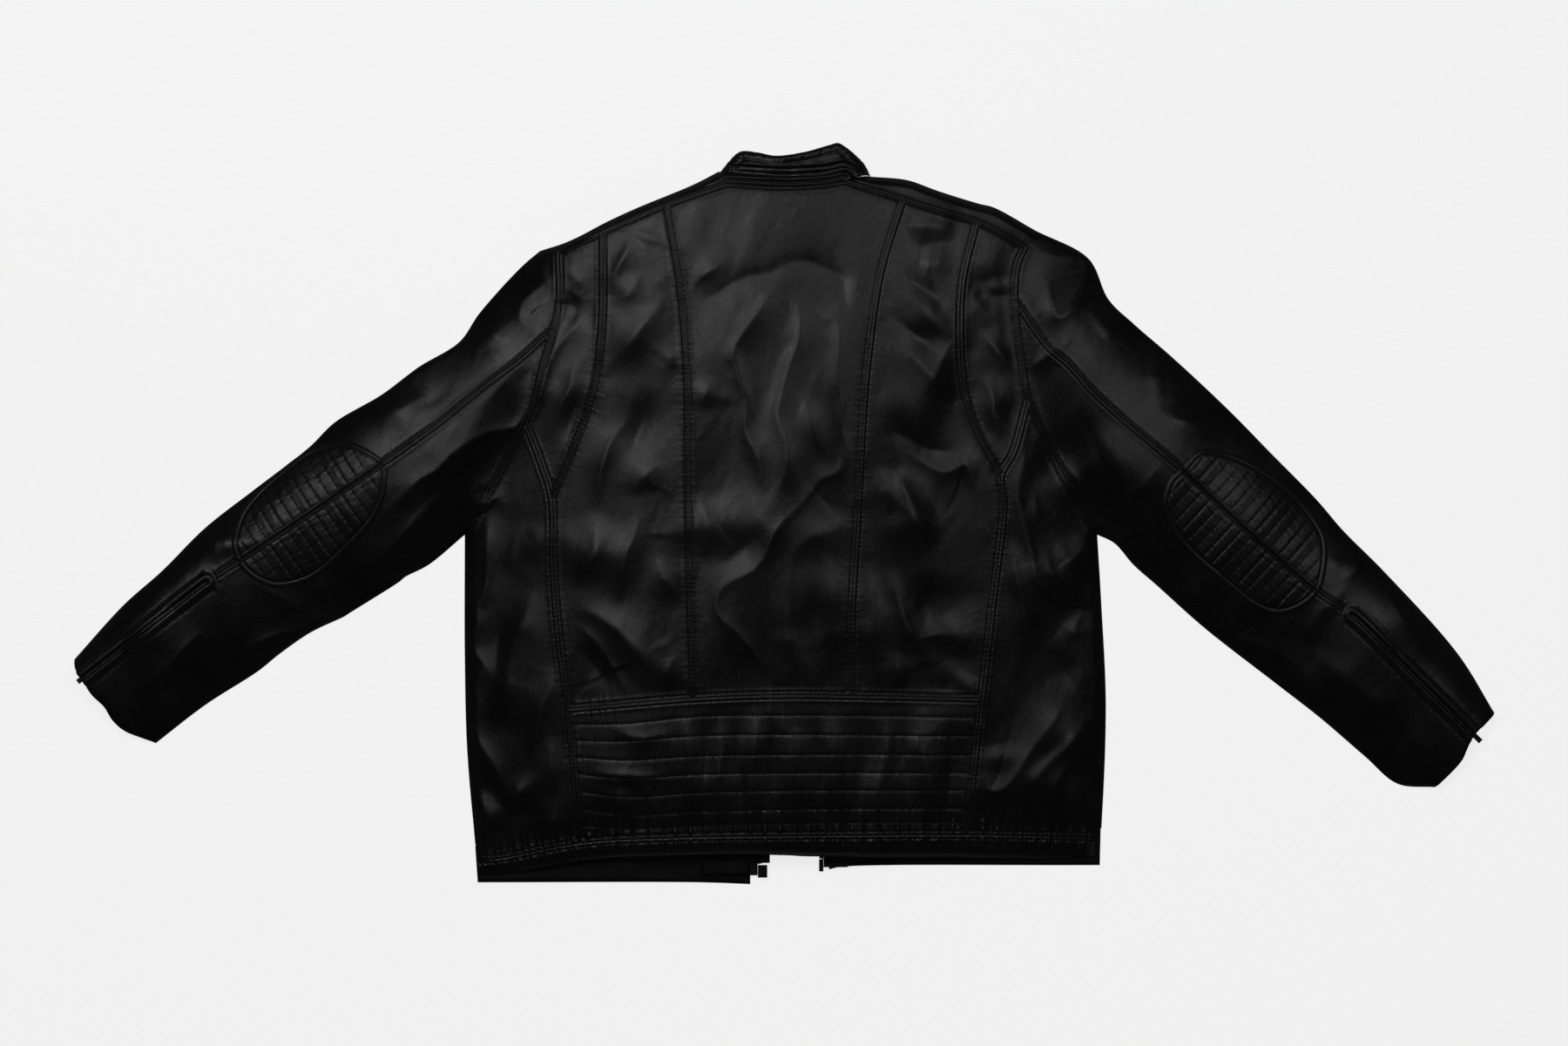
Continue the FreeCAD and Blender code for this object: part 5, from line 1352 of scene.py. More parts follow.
OPENINGS = {"front_left_panel": zip_slot((-172.0, -140.0), (0.34, 0.94)), "front_right_panel": zip_slot((180.0, -140.0), (-0.34, 0.94))}
UNDER_SOLIDS = {}
for node, parts in UNDER.items():
    loop = outline(parts)
    border = Near([loop], 4.0, closed=True)
    edge = edge_rows[inside(edge_rows, loop)]
    edge = edge[border(edge)[0] > 0.5] if len(edge) else edge
    rest = hexes(loop, 4.0)
    rest = rest[inside(rest, loop)]
    rest = rest[border(rest)[0] > 2.0]
    rest = rest[edge_all(rest)[0] > 7.5] if len(rest) else rest
    pts = np.vstack([edge, rest]) if len(edge) else rest
    hole = OPENINGS.get(node, ())
    if len(hole):
        pts = pts[~inside(pts, hole)]
        pts = pts[Near([hole], 4.0, closed=True)(pts)[0] > 1.5]
        xy, tri, ring, opening = triangulate(loop, pts, hole)
    else:
        xy, tri, ring = triangulate(loop, pts)
        opening = []
    top, low = under_top(xy), under_bottom(xy)
    n = len(xy)
    verts = np.vstack([np.column_stack([xy, top]), np.column_stack([xy, low])])
    faces = tri + [[n + i for i in reversed(f)] for f in tri]
    for i in range(len(ring)):
        a, b = ring[i], ring[(i + 1) % len(ring)]
        faces.append([a, n + a, n + b, b])
    for i in range(len(opening)):
        a, b = opening[i], opening[(i + 1) % len(opening)]
        faces.append([a, n + a, n + b, b])
    UNDER_SOLIDS[node] = {"name": node, "verts": verts, "faces": faces, "top": 0, "ntri": 0}


# ---------------------------------------------------------------- objects
def shared_normals(meshes):
    keys, normals, spans = [], [], []
    for m in meshes:
        v = m["verts"]
        tri = np.array(m["faces"][:m["ntri"]])
        a, b, c = v[tri[:, 0]], v[tri[:, 1]], v[tri[:, 2]]
        fn = np.cross(b - a, c - a)
        acc = np.zeros((m["top"], 3))
        for i in range(3):
            np.add.at(acc, tri[:, i], fn)
        spans.append((len(keys), m["top"]))
        keys.append(np.round(v[:m["top"], :2] / 0.04).astype(int))
        normals.append(acc)
    allk, alln = np.vstack(keys), np.vstack(normals)
    _, inv = np.unique(allk, axis=0, return_inverse=True)
    inv = inv.ravel()
    total = np.zeros((inv.max() + 1, 3))
    np.add.at(total, inv, alln)
    total /= np.linalg.norm(total, axis=1)[:, None] + 1e-12
    out, at = [], 0
    for m in meshes:
        out.append(total[inv[at:at + m["top"]]])
        at += m["top"]
    return out


def make(m, normals=None):
    mesh = bpy.data.meshes.new(m["name"] + "_mesh")
    mesh.from_pydata((m["verts"] * 0.001).tolist(), [], m["faces"])
    mesh.polygons.foreach_set("use_smooth", np.ones(len(mesh.polygons), bool))
    if normals is not None:
        loops = np.zeros(len(mesh.loops), int)
        mesh.loops.foreach_get("vertex_index", loops)
        nl = np.zeros((len(loops), 3))
        n_top = 3 * m["ntri"]
        nl[:n_top] = normals[loops[:n_top]]
        fn = np.zeros(len(mesh.polygons) * 3)
        mesh.polygons.foreach_get("normal", fn)
        fn = fn.reshape(-1, 3)
        total = np.zeros(len(mesh.polygons), int)
        mesh.polygons.foreach_get("loop_total", total)
        nl[n_top:] = np.repeat(fn, total, axis=0)[n_top:]
        mesh.normals_split_custom_set(nl.tolist())
    mesh.validate(clean_customdata=False)
    obj = bpy.data.objects.new(m["name"] + "_leather", mesh)
    bpy.context.scene.collection.objects.link(obj)
    return obj


OBJ = {}
for m, nrm in zip(MESHES, shared_normals(MESHES)):
    OBJ[m["name"]] = make(m, nrm)
for name, m in UNDER_SOLIDS.items():
    OBJ[name] = make(m)


# ---------------------------------------------------------------- stitches
def stitch_rows():
    """Every row of stitches: group, samples of the row, whether it is on a patch."""
    rows = []
    cuts = {"LS": (LINES["LS"][1][7], LINES["LS"][1][9]), "RS": (LINES["RS"][1][8], LINES["RS"][1][10])}
    for name, pts in zip(SEAMS, seam_chains):
        d = np.gradient(pts, axis=0)
        d /= np.linalg.norm(d, axis=1)[:, None]
        nrm = np.stack([-d[:, 1], d[:, 0]], 1)
        for sign in (1, -1):
            q = pts + nrm * 3.6 * sign
            if name in cuts:
                a, b = cuts[name]
                side = "left" if name == "LS" else "right"
                rows.append((side + "_upper", q[:a + 1], "seam"))
                rows.append((side + "_fore", q[b:], "seam"))
            elif name in ("AL", "AR"):
                upper = sign == (1 if name == "AR" else -1)
                side = "left" if name == "AL" else "right"
                rows.append((side + "_upper" if upper else "torso", q, "seam"))
            else:
                rows.append(("torso", q, "seam"))
    for k, side in ((0, "left"), (1, "right")):
        pts = zip_chains[k]
        d = np.gradient(pts, axis=0)
        d /= np.linalg.norm(d, axis=1)[:, None]
        nrm = np.stack([-d[:, 1], d[:, 0]], 1)
        for off in (7.6, 10.2):
            for sign in (1, -1):
                rows.append((side + "_fore", (pts + nrm * off * sign)[4:-3], "seam"))
        rim = spline(PATCHES[side], 1.3, closed=True)[0]
        c = rim.mean(0)
        d = np.roll(rim, -1, 0) - np.roll(rim, 1, 0)
        d /= np.linalg.norm(d, axis=1)[:, None]
        nrm = np.stack([-d[:, 1], d[:, 0]], 1)
        if np.sum((rim + nrm - c) ** 2) > np.sum((rim - nrm - c) ** 2):
            nrm = -nrm
        for off in (1.9, 5.4):
            q = rim + nrm * off
            rows.append((side + "_patch", np.vstack([q, q[:1]]), "patch"))
        mid = patch_axis[side]
        d = np.gradient(mid, axis=0)
        d /= np.linalg.norm(d, axis=1)[:, None]
        nrm = np.stack([-d[:, 1], d[:, 0]], 1)
        for sign in (1, -1):
            q = mid + nrm * 3.6 * sign
            keep = inside(q, rim)
            q = q[keep]
            if len(q) > 4:
                rows.append((side + "_patch", q[3:-3], "patch"))
        for line in QUILTING[side + "_patch"]:
            q = spline(line, 1.3)[0]
            keep = inside(q, rim + nrm_shrink(rim, 6.4))
            q = q[keep]
            if len(q) > 6:
                rows.append((side + "_patch", q, "quilt"))
    for line in QUILTING["waist"]:
        q = spline(line, 1.3)[0]
        q = q[inside(q, waist_outline)]
        rows.append(("torso", q[4:-4], "quilt"))
    neck = LINES["N"][0]
    for off in (4.7, 17.4):
        q = neck + np.array([0.0, off])
        rows.append(("collar", q[2:-2], "collar"))
    top = LINES["KT"][0]
    d = np.gradient(top, axis=0)
    d /= np.linalg.norm(d, axis=1)[:, None]
    q = top + np.stack([d[:, 1], -d[:, 0]], 1) * 11.2
    rows.append(("collar", q[14:-22], "collar"))
    return rows


def nrm_shrink(rim, by):
    d = np.roll(rim, -1, 0) - np.roll(rim, 1, 0)
    d /= np.linalg.norm(d, axis=1)[:, None]
    nrm = np.stack([-d[:, 1], d[:, 0]], 1)
    c = rim.mean(0)
    if np.sum((rim + nrm - c) ** 2) > np.sum((rim - nrm - c) ** 2):
        nrm = -nrm
    return nrm * by


TOPS = {"left_patch": patch_top("left"), "right_patch": patch_top("right"), "collar": collar_top}
STITCH = {}
for group, row, kind in stitch_rows():
    length = np.concatenate([[0], np.cumsum(np.linalg.norm(np.diff(row, axis=0), axis=1))])
    pitch, long = (3.4, 2.4) if kind == "quilt" else (4.0, 2.9)
    n = int(length[-1] / pitch)
    if n < 2:
        continue
    s = (np.arange(n) + 0.5) * length[-1] / n
    ends = [np.stack([np.interp(s + e, length, row[:, 0]), np.interp(s + e, length, row[:, 1])], 1) for e in (-long / 2, 0, long / 2)]
    fn = TOPS.get(group, heights)
    zs = [fn(e) for e in ends]
    lift = 0.02 if kind == "quilt" else 0.08
    p = [np.column_stack([e, z + h]) for e, z, h in zip(ends, zs, (lift - 0.12, lift + 0.1, lift - 0.12))]
    STITCH.setdefault(group, []).append(np.stack(p, 1))


def stitches(name, runs, radius=0.34):
    """All the stitches of a group as one mesh of small capsules."""
    p = np.vstack(runs)
    n = len(p)
    axis = p[:, 2] - p[:, 0]
    axis /= np.linalg.norm(axis, axis=1)[:, None]
    side = np.cross(axis, [0, 0, 1.0])
    side /= np.linalg.norm(side, axis=1)[:, None]
    up = np.cross(side, axis)
    rings = ((0, 0.0, 0.45), (0, 0.3, 1.0), (1, 0.0, 1.12), (2, -0.3, 1.0), (2, 0.0, 0.45))
    m = 6
    verts = []
    for k, shift, r in rings:
        c = p[:, k] + axis * shift
        for j in range(m):
            a = 2 * math.pi * j / m
            verts.append(c + (side * math.cos(a) + up * math.sin(a)) * radius * r)
    verts = np.stack(verts, 1).reshape(-1, 3)
    local = []
    for k in range(len(rings) - 1):
        for j in range(m):
            a, b = k * m + j, k * m + (j + 1) % m
            local.append([a, b, b + m, a + m])
    per = len(rings) * m
    caps = [list(range(m))[::-1], list(range(per - m, per))]
    faces = []
    for i in range(n):
        o = i * per
        faces.extend([[o + v for v in f] for f in local])
        faces.extend([[o + v for v in f] for f in caps])
    mesh = bpy.data.meshes.new(name + "_mesh")
    mesh.from_pydata((verts * 0.001).tolist(), [], faces)
    mesh.polygons.foreach_set("use_smooth", np.ones(len(mesh.polygons), bool))
    obj = bpy.data.objects.new(name, mesh)
    bpy.context.scene.collection.objects.link(obj)
    return obj


THREADS = {group: stitches(group + "_stitching", runs) for group, runs in STITCH.items()}


# ---------------------------------------------------------------- inner soft pieces
def strip_solid(name, top_pts, low_pts):
    """Closed solid from two grids of points, rows by columns."""
    r, c = top_pts.shape[:2]
    n = r * c
    verts = np.vstack([top_pts.reshape(-1, 3), low_pts.reshape(-1, 3)])
    faces = []
    for i in range(r - 1):
        for j in range(c - 1):
            a = i * c + j
            faces.append([a, a + 1, a + c + 1, a + c])
            faces.append([n + a, n + a + c, n + a + c + 1, n + a + 1])
    rim = [(0, j) for j in range(c)] + [(i, c - 1) for i in range(1, r)] + [(r - 1, j) for j in range(c - 2, -1, -1)] + [(i, 0) for i in range(r - 2, 0, -1)]
    ids = [i * c + j for i, j in rim]
    for k in range(len(ids)):
        a, b = ids[k], ids[(k + 1) % len(ids)]
        faces.append([b, a, n + a, n + b])
    mesh = bpy.data.meshes.new(name + "_mesh")
    mesh.from_pydata((verts * 0.001).tolist(), [], faces)
    mesh.polygons.foreach_set("use_smooth", np.ones(len(mesh.polygons), bool))
    obj = bpy.data.objects.new(name, mesh)
    bpy.context.scene.collection.objects.link(obj)
    return obj


def plate(name, pts, step, top_fn, low_fn):
    """Closed sheet over an outline given by its points."""
    pts = np.array(pts, float)
    x, y = pts.T
    if np.sum(x * np.roll(y, -1) - np.roll(x, -1) * y) < 0:
        pts = pts[::-1]
    loop = np.vstack([straight(pts[i], pts[(i + 1) % len(pts)], step)[:-1] for i in range(len(pts))])
    rest = hexes(loop, step)
    rest = rest[inside(rest, loop)]
    rest = rest[Near([loop], step, closed=True)(rest)[0] > step * 0.5]
    xy, tri, ring = triangulate(loop, rest)
    n = len(xy)
    verts = np.vstack([np.column_stack([xy, top_fn(xy)]), np.column_stack([xy, low_fn(xy)])])
    faces = tri + [[n + i for i in reversed(f)] for f in tri]
    for i in range(len(ring)):
        a, b = ring[i], ring[(i + 1) % len(ring)]
        faces.append([a, n + a, n + b, b])
    mesh = bpy.data.meshes.new(name + "_mesh")
    mesh.from_pydata((verts * 0.001).tolist(), [], faces)
    mesh.polygons.foreach_set("use_smooth", np.ones(len(mesh.polygons), bool))
    obj = bpy.data.objects.new(name, mesh)
    bpy.context.scene.collection.objects.link(obj)
    return obj


wave = noise(14.0, 31)


def dome_under(drop, swing):
    return lambda q: 44.0 - q[:, 0] ** 2 / 2600.0 - drop + swing * sample(wave, q[:, 0], q[:, 1])


def level(z, swing=0.12):
    return lambda q: z + swing * sample(wave, q[:, 0], q[:, 1])


def box_plate(name, node, step, swing=0.12, sides=None):
    lo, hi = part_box(node)
    x0, y0, z0 = (v * 1000 for v in lo)
    x1, y1, z1 = (v * 1000 for v in hi)
    pts = sides or [(x0, y0), (x1, y0), (x1, y1), (x0, y1)]
    return plate(name, pts, step, level(z1 - swing, swing), level(z0 + swing, swing))


INNER = {}
bl = outline([("BL1", 0, 10), ("BL2", 0, 1), ("BL3", 0, 1), ("BL4", 0, 3)])
INNER["back_lining"] = [plate("back_lining_cloth", bl[::4], 6.0, dome_under(7.0, 0.8), dome_under(7.7, 0.8))]


def mm(*px):
    return [((x - 900) * 0.85, (591 - y) * 0.85) for x, y in px]


INNER["front_linings"] = [
    plate("front_left_lining_cloth", mm((668, 330), (760, 270), (800, 262), (815, 330), (815, 955), (615, 955), (615, 600), (645, 470)), 6.0, level(7.75), level(7.15)),
    plate("front_right_lining_cloth", mm((1000, 262), (1040, 262), (1140, 330), (1150, 455), (1185, 600), (1185, 940), (1000, 940), (1000, 330)), 6.0, level(7.75), level(7.15)),
]
INNER["left_sleeve_lining"] = [plate("left_sleeve_lining_cloth", mm((535, 392), (500, 425), (440, 466), (385, 505), (372, 525), (450, 640), (468, 622)), 5.0, level(3.15, 0.05), level(2.55, 0.05))]
INNER["right_sleeve_lining"] = [plate("right_sleeve_lining_cloth", mm((1310, 400), (1350, 428), (1410, 482), (1448, 520), (1340, 650), (1334, 640)), 5.0, level(3.15, 0.05), level(2.55, 0.05))]
facings = []
for tag, x0, x1 in (("left", -81.0, -33.6), ("right", 44.7, 92.1)):
    y0 = -354.0 if tag == "left" else -341.0
    facings.append(plate(tag + "_facing_leather", [(x0, y0), (x1, y0), (x1, 250.0), (x0, 250.0)], 5.0, level(6.3, 0.05), level(5.5, 0.05)))
    facings.append(plate(tag + "_placket_leather", [(x0, y0), (x1, y0), (x1, 250.0), (x0, 250.0)], 5.0, level(3.9, 0.05), level(2.6, 0.05)))
INNER["front_facings"] = facings
INNER["main_zip_tapes"] = [
    plate("left_zip_tape_cloth", [(-49.6, -354.0), (-25.9, -354.0), (-25.9, 265.0), (-49.6, 265.0)], 4.0, level(5.05, 0.03), level(4.35, 0.03)),
    plate("right_zip_tape_cloth", [(38.9, -346.0), (62.6, -346.0), (62.6, 265.0), (38.9, 265.0)], 4.0, level(5.05, 0.03), level(4.35, 0.03)),
]
INNER["pocket_bags"] = []
for tag, s in (("left", -1), ("right", 1)):
    shift = 4.0 if s > 0 else 0.0
    bag = [(s * (172 + shift) + s * dx, y) for dx, y in ((-20, -50), (6, -47), (30, -70), (48, -190), (44, -245), (20, -260), (-30, -258), (-48, -235), (-46, -170))]
    INNER["pocket_bags"].append(plate(tag + "_pocket_bag_cloth", bag, 5.0, level(6.75, 0.03), level(6.05, 0.03)))
h_line, b_line = LINES["H"][0], LINES["HB"][0]


def along(line, t):
    length = np.concatenate([[0], np.cumsum(np.linalg.norm(np.diff(line, axis=0), axis=1))])
    return np.stack([np.interp(t * length[-1], length, line[:, 0]), np.interp(t * length[-1], length, line[:, 1])], 1)


tt = np.linspace(0.008, 0.992, 420)
top_edge, low_edge = along(h_line, tt), along(b_line, tt)
rows = np.array([top_edge + (low_edge - top_edge) * f for f in np.linspace(0.18, 0.82, 12)])
rib = 0.25 * np.cos(np.arange(12) * math.pi)[:, None] + 0.35 * np.cos(tt * 620)[None]
elastic_z = np.maximum(44.0 - rows[..., 0] ** 2 / 2600.0 - 9.2, 4.0) + rib
INNER["hem_elastic"] = [strip_solid("hem_elastic_band", np.dstack([rows, elastic_z])[::-1], np.dstack([rows, elastic_z - 1.1])[::-1])]
lt = np.linspace(-28, 28, 40)
loop_y = np.linspace(305.3, 310.7, 5)
loop_z = np.where(np.abs(lt) > 17, 40.9, 39.6) - 0.15 * np.cos(lt / 3)
lx, ly = np.meshgrid(lt, loop_y)
lz = np.tile(loop_z, (5, 1)) - 4.0
INNER["hanger_loop"] = [strip_solid("hanger_loop_leather", np.dstack([lx, ly, lz + 0.3 * np.cos((ly - 308) / 1.8)]), np.dstack([lx, ly, lz - 1.0]))]


# ---------------------------------------------------------------- materials
def nodes_of(name):
    mat = bpy.data.materials.new(name)
    mat.use_nodes = True
    nt = mat.node_tree
    for n in list(nt.nodes):
        nt.nodes.remove(n)
    out = nt.nodes.new("ShaderNodeOutputMaterial")
    bsdf = nt.nodes.new("ShaderNodeBsdfPrincipled")
    nt.links.new(bsdf.outputs["BSDF"], out.inputs["Surface"])
    coord = nt.nodes.new("ShaderNodeTexCoord")
    return mat, nt, bsdf, coord.outputs["Object"]


def new(nt, kind, **values):
    n = nt.nodes.new(kind)
    for key, value in values.items():
        if hasattr(n, key):
            setattr(n, key, value)
        else:
            n.inputs[key.replace("_", " ")].default_value = value
    return n


def ramp(nt, fac, stops):
    r = nt.nodes.new("ShaderNodeValToRGB")
    el = r.color_ramp.elements
    while len(el) > 1:
        el.remove(el[-1])
    el[0].position, el[0].color = stops[0][0], stops[0][1]
    for pos, col in stops[1:]:
        e = el.new(pos)
        e.color = col
    nt.links.new(fac, r.inputs["Fac"])
    return r.outputs["Color"]


def grey(v):
    return (v, v, v, 1.0)


def leather(name, tone=0.0048, rough=(0.25, 0.35), grain=1.0):
    """Black leather: fine pebble grain, creases, uneven finish and a few worn lights."""
    mat, nt, bsdf, co = nodes_of(name)
    warp = new(nt, "ShaderNodeTexNoise", Scale=140.0, Detail=2.0)
    nt.links.new(co, warp.inputs["Vector"])
    mix = new(nt, "ShaderNodeVectorMath", operation="MULTIPLY_ADD")
    nt.links.new(warp.outputs["Color"], mix.inputs[0])
    mix.inputs[1].default_value = (0.0016, 0.0016, 0.0016)
    nt.links.new(co, mix.inputs[2])
    cells = new(nt, "ShaderNodeTexVoronoi", feature="DISTANCE_TO_EDGE", Scale=820.0)
    nt.links.new(mix.outputs[0], cells.inputs["Vector"])
    pebble = new(nt, "ShaderNodeMapRange")
    nt.links.new(cells.outputs["Distance"], pebble.inputs["Value"])
    pebble.inputs["From Min"].default_value = 0.0
    pebble.inputs["From Max"].default_value = 0.22
    pebble.inputs["To Max"].default_value = 1.0
    fine = new(nt, "ShaderNodeTexNoise", Scale=2100.0, Detail=3.0, Roughness=0.6)
    nt.links.new(co, fine.inputs["Vector"])
    crease = new(nt, "ShaderNodeTexNoise", Scale=260.0, Detail=4.0, Roughness=0.62, Distortion=0.6)
    nt.links.new(co, crease.inputs["Vector"])
    b1 = new(nt, "ShaderNodeBump", Strength=0.30 * grain, Distance=0.00012)
    nt.links.new(pebble.outputs["Result"], b1.inputs["Height"])
    b2 = new(nt, "ShaderNodeBump", Strength=0.16 * grain, Distance=0.0001)
    nt.links.new(fine.outputs["Fac"], b2.inputs["Height"])
    nt.links.new(b1.outputs["Normal"], b2.inputs["Normal"])
    b3 = new(nt, "ShaderNodeBump", Strength=0.16 * grain, Distance=0.0006)
    nt.links.new(crease.outputs["Fac"], b3.inputs["Height"])
    nt.links.new(b2.outputs["Normal"], b3.inputs["Normal"])
    nt.links.new(b3.outputs["Normal"], bsdf.inputs["Normal"])
    patchy = new(nt, "ShaderNodeTexNoise", Scale=26.0, Detail=5.0, Roughness=0.55)
    nt.links.new(co, patchy.inputs["Vector"])
    colour = ramp(nt, patchy.outputs["Fac"], [(0.3, (tone * 0.8, tone * 0.8, tone * 0.84, 1)), (0.62, (tone * 1.5, tone * 1.45, tone * 1.45, 1)), (0.8, (tone * 2.3, tone * 2.2, tone * 2.15, 1))])
    nt.links.new(colour, bsdf.inputs["Base Color"])
    rr = new(nt, "ShaderNodeMapRange")
    nt.links.new(patchy.outputs["Fac"], rr.inputs["Value"])
    rr.inputs["From Min"].default_value = 0.3
    rr.inputs["From Max"].default_value = 0.75
    rr.inputs["To Min"].default_value = rough[0]
    rr.inputs["To Max"].default_value = rough[1]
    nt.links.new(rr.outputs["Result"], bsdf.inputs["Roughness"])
    bsdf.inputs["Specular IOR Level"].default_value = 0.5
    return mat


def cloth(name, colour, scale=900.0, rough=0.75, twill=False):
    mat, nt, bsdf, co = nodes_of(name)
    w1 = new(nt, "ShaderNodeTexWave", wave_type="BANDS", bands_direction="DIAGONAL" if twill else "X", Scale=scale, Distortion=0.4)
    w2 = new(nt, "ShaderNodeTexWave", wave_type="BANDS", bands_direction="Y", Scale=scale, Distortion=0.4)
    n = new(nt, "ShaderNodeTexNoise", Scale=320.0, Detail=3.0)
    for t in (w1, w2, n):
        nt.links.new(co, t.inputs["Vector"])
    m = new(nt, "ShaderNodeMath", operation="MULTIPLY")
    nt.links.new(w1.outputs["Fac"], m.inputs[0])
    nt.links.new(w2.outputs["Fac"], m.inputs[1])
    b = new(nt, "ShaderNodeBump", Strength=0.5, Distance=0.0002)
    nt.links.new(m.outputs[0], b.inputs["Height"])
    nt.links.new(b.outputs["Normal"], bsdf.inputs["Normal"])
    c = ramp(nt, n.outputs["Fac"], [(0.3, tuple(v * 0.7 for v in colour) + (1,)), (0.7, tuple(v * 1.25 for v in colour) + (1,))])
    nt.links.new(c, bsdf.inputs["Base Color"])
    bsdf.inputs["Roughness"].default_value = rough
    bsdf.inputs["Sheen Weight"].default_value = 0.2
    return mat


def metal(name, colour, rough):
    mat, nt, bsdf, co = nodes_of(name)
    n = new(nt, "ShaderNodeTexNoise", Scale=700.0, Detail=4.0)
    nt.links.new(co, n.inputs["Vector"])
    c = ramp(nt, n.outputs["Fac"], [(0.35, tuple(v * 0.75 for v in colour) + (1,)), (0.65, tuple(colour) + (1,))])
    nt.links.new(c, bsdf.inputs["Base Color"])
    r = new(nt, "ShaderNodeMapRange")
    nt.links.new(n.outputs["Fac"], r.inputs["Value"])
    r.inputs["To Min"].default_value = rough * 0.7
    r.inputs["To Max"].default_value = rough * 1.3
    nt.links.new(r.outputs["Result"], bsdf.inputs["Roughness"])
    b = new(nt, "ShaderNodeBump", Strength=0.15, Distance=0.0001)
    nt.links.new(n.outputs["Fac"], b.inputs["Height"])
    nt.links.new(b.outputs["Normal"], bsdf.inputs["Normal"])
    bsdf.inputs["Metallic"].default_value = 1.0
    return mat


LEATHER = leather("riding_leather")
PATCH = leather("patch_leather", rough=(0.27, 0.37))
THREAD = cloth("waxed_thread", (0.006, 0.006, 0.006), scale=2500.0, rough=0.5, twill=True)
LINING = cloth("lining_satin", (0.012, 0.012, 0.013), rough=0.45, twill=True)
ELASTIC = cloth("ribbed_elastic", (0.01, 0.01, 0.01), scale=500.0)
TAPE = cloth("zip_tape_weave", (0.008, 0.008, 0.008), scale=700.0, twill=True)
METAL = metal("darkened_metal", (0.05, 0.048, 0.046), 0.35)
COIL = metal("zip_coil", (0.02, 0.02, 0.02), 0.4)


def paint(obj, mat, slot):
    obj.data.materials.clear()
    obj.data.materials.append(mat)


def v(x, y, z=12.0):
    return (x * 0.001, y * 0.001, z * 0.001)


def bend(obj, which):
    """Bakes the piece's placement into its mesh, the same for the shoulder as for the elbow."""
    if which == "shoulder":
        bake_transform(obj)
    else:
        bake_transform(obj)


for name, obj in OBJ.items():
    paint(obj, PATCH if name.endswith("patch") else LEATHER, "leather_black")

replaced = set()


def stand_for(obj, *nodes):
    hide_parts(*nodes)
    replaced.update(nodes)


for name in ("back_centre_panel", "back_left_panel", "back_right_panel", "back_left_armhole_panel", "back_right_armhole_panel",
             "left_side_panel", "right_side_panel", "waist_quilted_panel", "back_hem_band", "left_shoulder_yoke", "right_shoulder_yoke", "collar_band",
             "front_left_panel", "front_right_panel"):
    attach(OBJ[name], "torso")
    stand_for(OBJ[name], name)
for name in ("left_front_hem", "right_front_hem"):
    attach(OBJ[name], "torso")
stand_for(OBJ["left_front_hem"], "front_hem_bands")
for name in ("collar_left_front", "collar_right_front"):
    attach(OBJ[name], "torso")
for side in ("left", "right"):
    for name in ("_sleeve_crown", "_sleeve_outer_panel", "_sleeve_inner_panel"):
        bend(OBJ[side + name], "shoulder")
        stand_for(OBJ[side + name], side + name)
    bend(OBJ[side + "_crown_under"], "shoulder")
    bend(OBJ[side + "_sleeve_front_panel"], "shoulder")
    stand_for(OBJ[side + "_sleeve_front_panel"], side + "_sleeve_front_panel")
    for name in ("_elbow_zone", "_elbow_patch"):
        bend(OBJ[side + name], "elbow")
        stand_for(OBJ[side + name], side + name)
    bend(OBJ[side + "_elbow_under"], "elbow")
    for name in ("_forearm_outer_panel", "_forearm_inner_panel", "_forearm_front_panel"):
        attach(OBJ[side + name], side + "_forearm")
        stand_for(OBJ[side + name], side + name)
    bend(THREADS[side + "_upper"], "shoulder")
    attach(THREADS[side + "_fore"], side + "_forearm")
    bend(THREADS[side + "_patch"], "elbow")
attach(THREADS["torso"], "torso")
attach(THREADS["collar"], "torso")
for obj in THREADS.values():
    paint(obj, THREAD, "leather_black")

BODY_OF = {"left_sleeve_lining": "left_upper_arm", "right_sleeve_lining": "right_upper_arm"}
LOOK = {"back_lining": (LINING, "lining_fabric"), "front_linings": (LINING, "lining_fabric"), "left_sleeve_lining": (LINING, "lining_fabric"),
        "right_sleeve_lining": (LINING, "lining_fabric"), "pocket_bags": (LINING, "lining_fabric"), "front_facings": (LEATHER, "leather_black"),
        "main_zip_tapes": (TAPE, "zip_tape"), "hem_elastic": (ELASTIC, "elastic_band"), "hanger_loop": (LEATHER, "leather_black")}
for node, objs in INNER.items():
    mat, slot = LOOK[node]
    for obj in objs:
        paint(obj, mat, slot)
        if node.endswith("sleeve_lining"):
            bend(obj, "shoulder")
        else:
            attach(obj, "torso")
    stand_for(objs[0], node)

for name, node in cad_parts.items():
    if name in replaced:
        continue
    mat = COIL if "chain" in name else METAL
    for i in range(len(node.data.materials)):
        node.data.materials[i] = mat

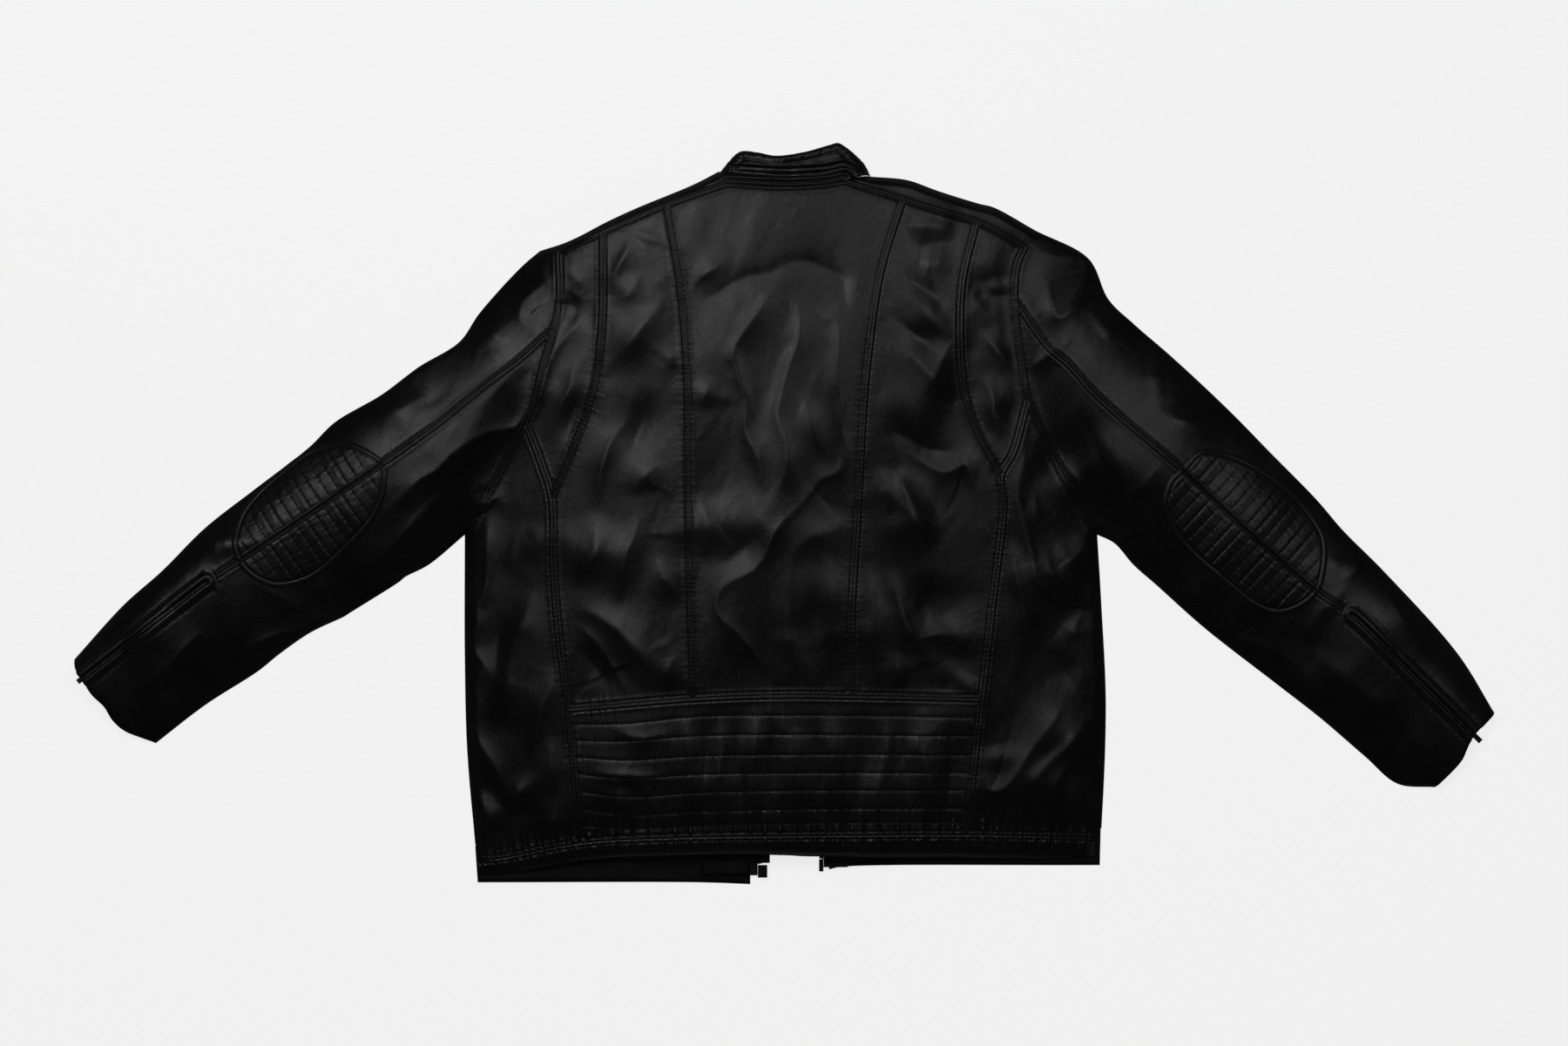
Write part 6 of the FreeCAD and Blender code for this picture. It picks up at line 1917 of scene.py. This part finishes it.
# ---------------------------------------------------------------- stage, light, camera
floor = bpy.data.meshes.new("floor_mesh")
floor.from_pydata([(-6, -6, 0), (6, -6, 0), (6, 6, 0), (-6, 6, 0)], [], [(0, 1, 2, 3)])
floor = bpy.data.objects.new("floor", floor)
bpy.context.scene.collection.objects.link(floor)
mat, nt, bsdf, co = nodes_of("studio_floor")
bsdf.inputs["Base Color"].default_value = (0.5, 0.5, 0.5, 1)
bsdf.inputs["Roughness"].default_value = 0.9
bsdf.inputs["Specular IOR Level"].default_value = 0.1
bsdf.inputs["Emission Color"].default_value = (1, 1, 1, 1)
bsdf.inputs["Emission Strength"].default_value = 0.797
floor.data.materials.append(mat)
floor.visible_glossy = False


def area_light(name, at, look, size, power):
    data = bpy.data.lights.new(name, "AREA")
    data.shape = "RECTANGLE"
    data.size, data.size_y = size
    data.energy = power
    obj = bpy.data.objects.new(name, data)
    obj.location = at
    obj.rotation_euler = (Vector(look) - Vector(at)).to_track_quat("-Z", "Y").to_euler()
    bpy.context.scene.collection.objects.link(obj)
    return obj


area_light("key", (-1.2, 1.15, 3.4), (0, 0, 0), (1.0, 0.9), 14)
area_light("side", (1.25, 1.0, 3.4), (0, 0, 0), (0.8, 0.8), 6.5)
area_light("top", (0.0, 1.9, 3.2), (0, 0, 0), (1.0, 0.5), 3.5)

world = bpy.data.worlds.new("studio") if not bpy.context.scene.world else bpy.context.scene.world
bpy.context.scene.world = world
world.use_nodes = True
bg = world.node_tree.nodes.get("Background") or world.node_tree.nodes.new("ShaderNodeBackground")
bg.inputs["Color"].default_value = (1, 1, 1, 1)
bg.inputs["Strength"].default_value = 0.025

scene = bpy.context.scene
scene.view_settings.view_transform = "Standard"
scene.view_settings.look = "None"
cam_data = bpy.data.cameras.new("camera")
cam_data.sensor_width = 36.0
cam_data.lens = 70.0
cam = bpy.data.objects.new("camera", cam_data)
bpy.context.scene.collection.objects.link(cam)
reach = 1.53 * 70.0 / 36.0
cam.location = (0.0, -0.0081, reach + 0.022)
cam.rotation_euler = (0, 0, 0)
scene.camera = cam
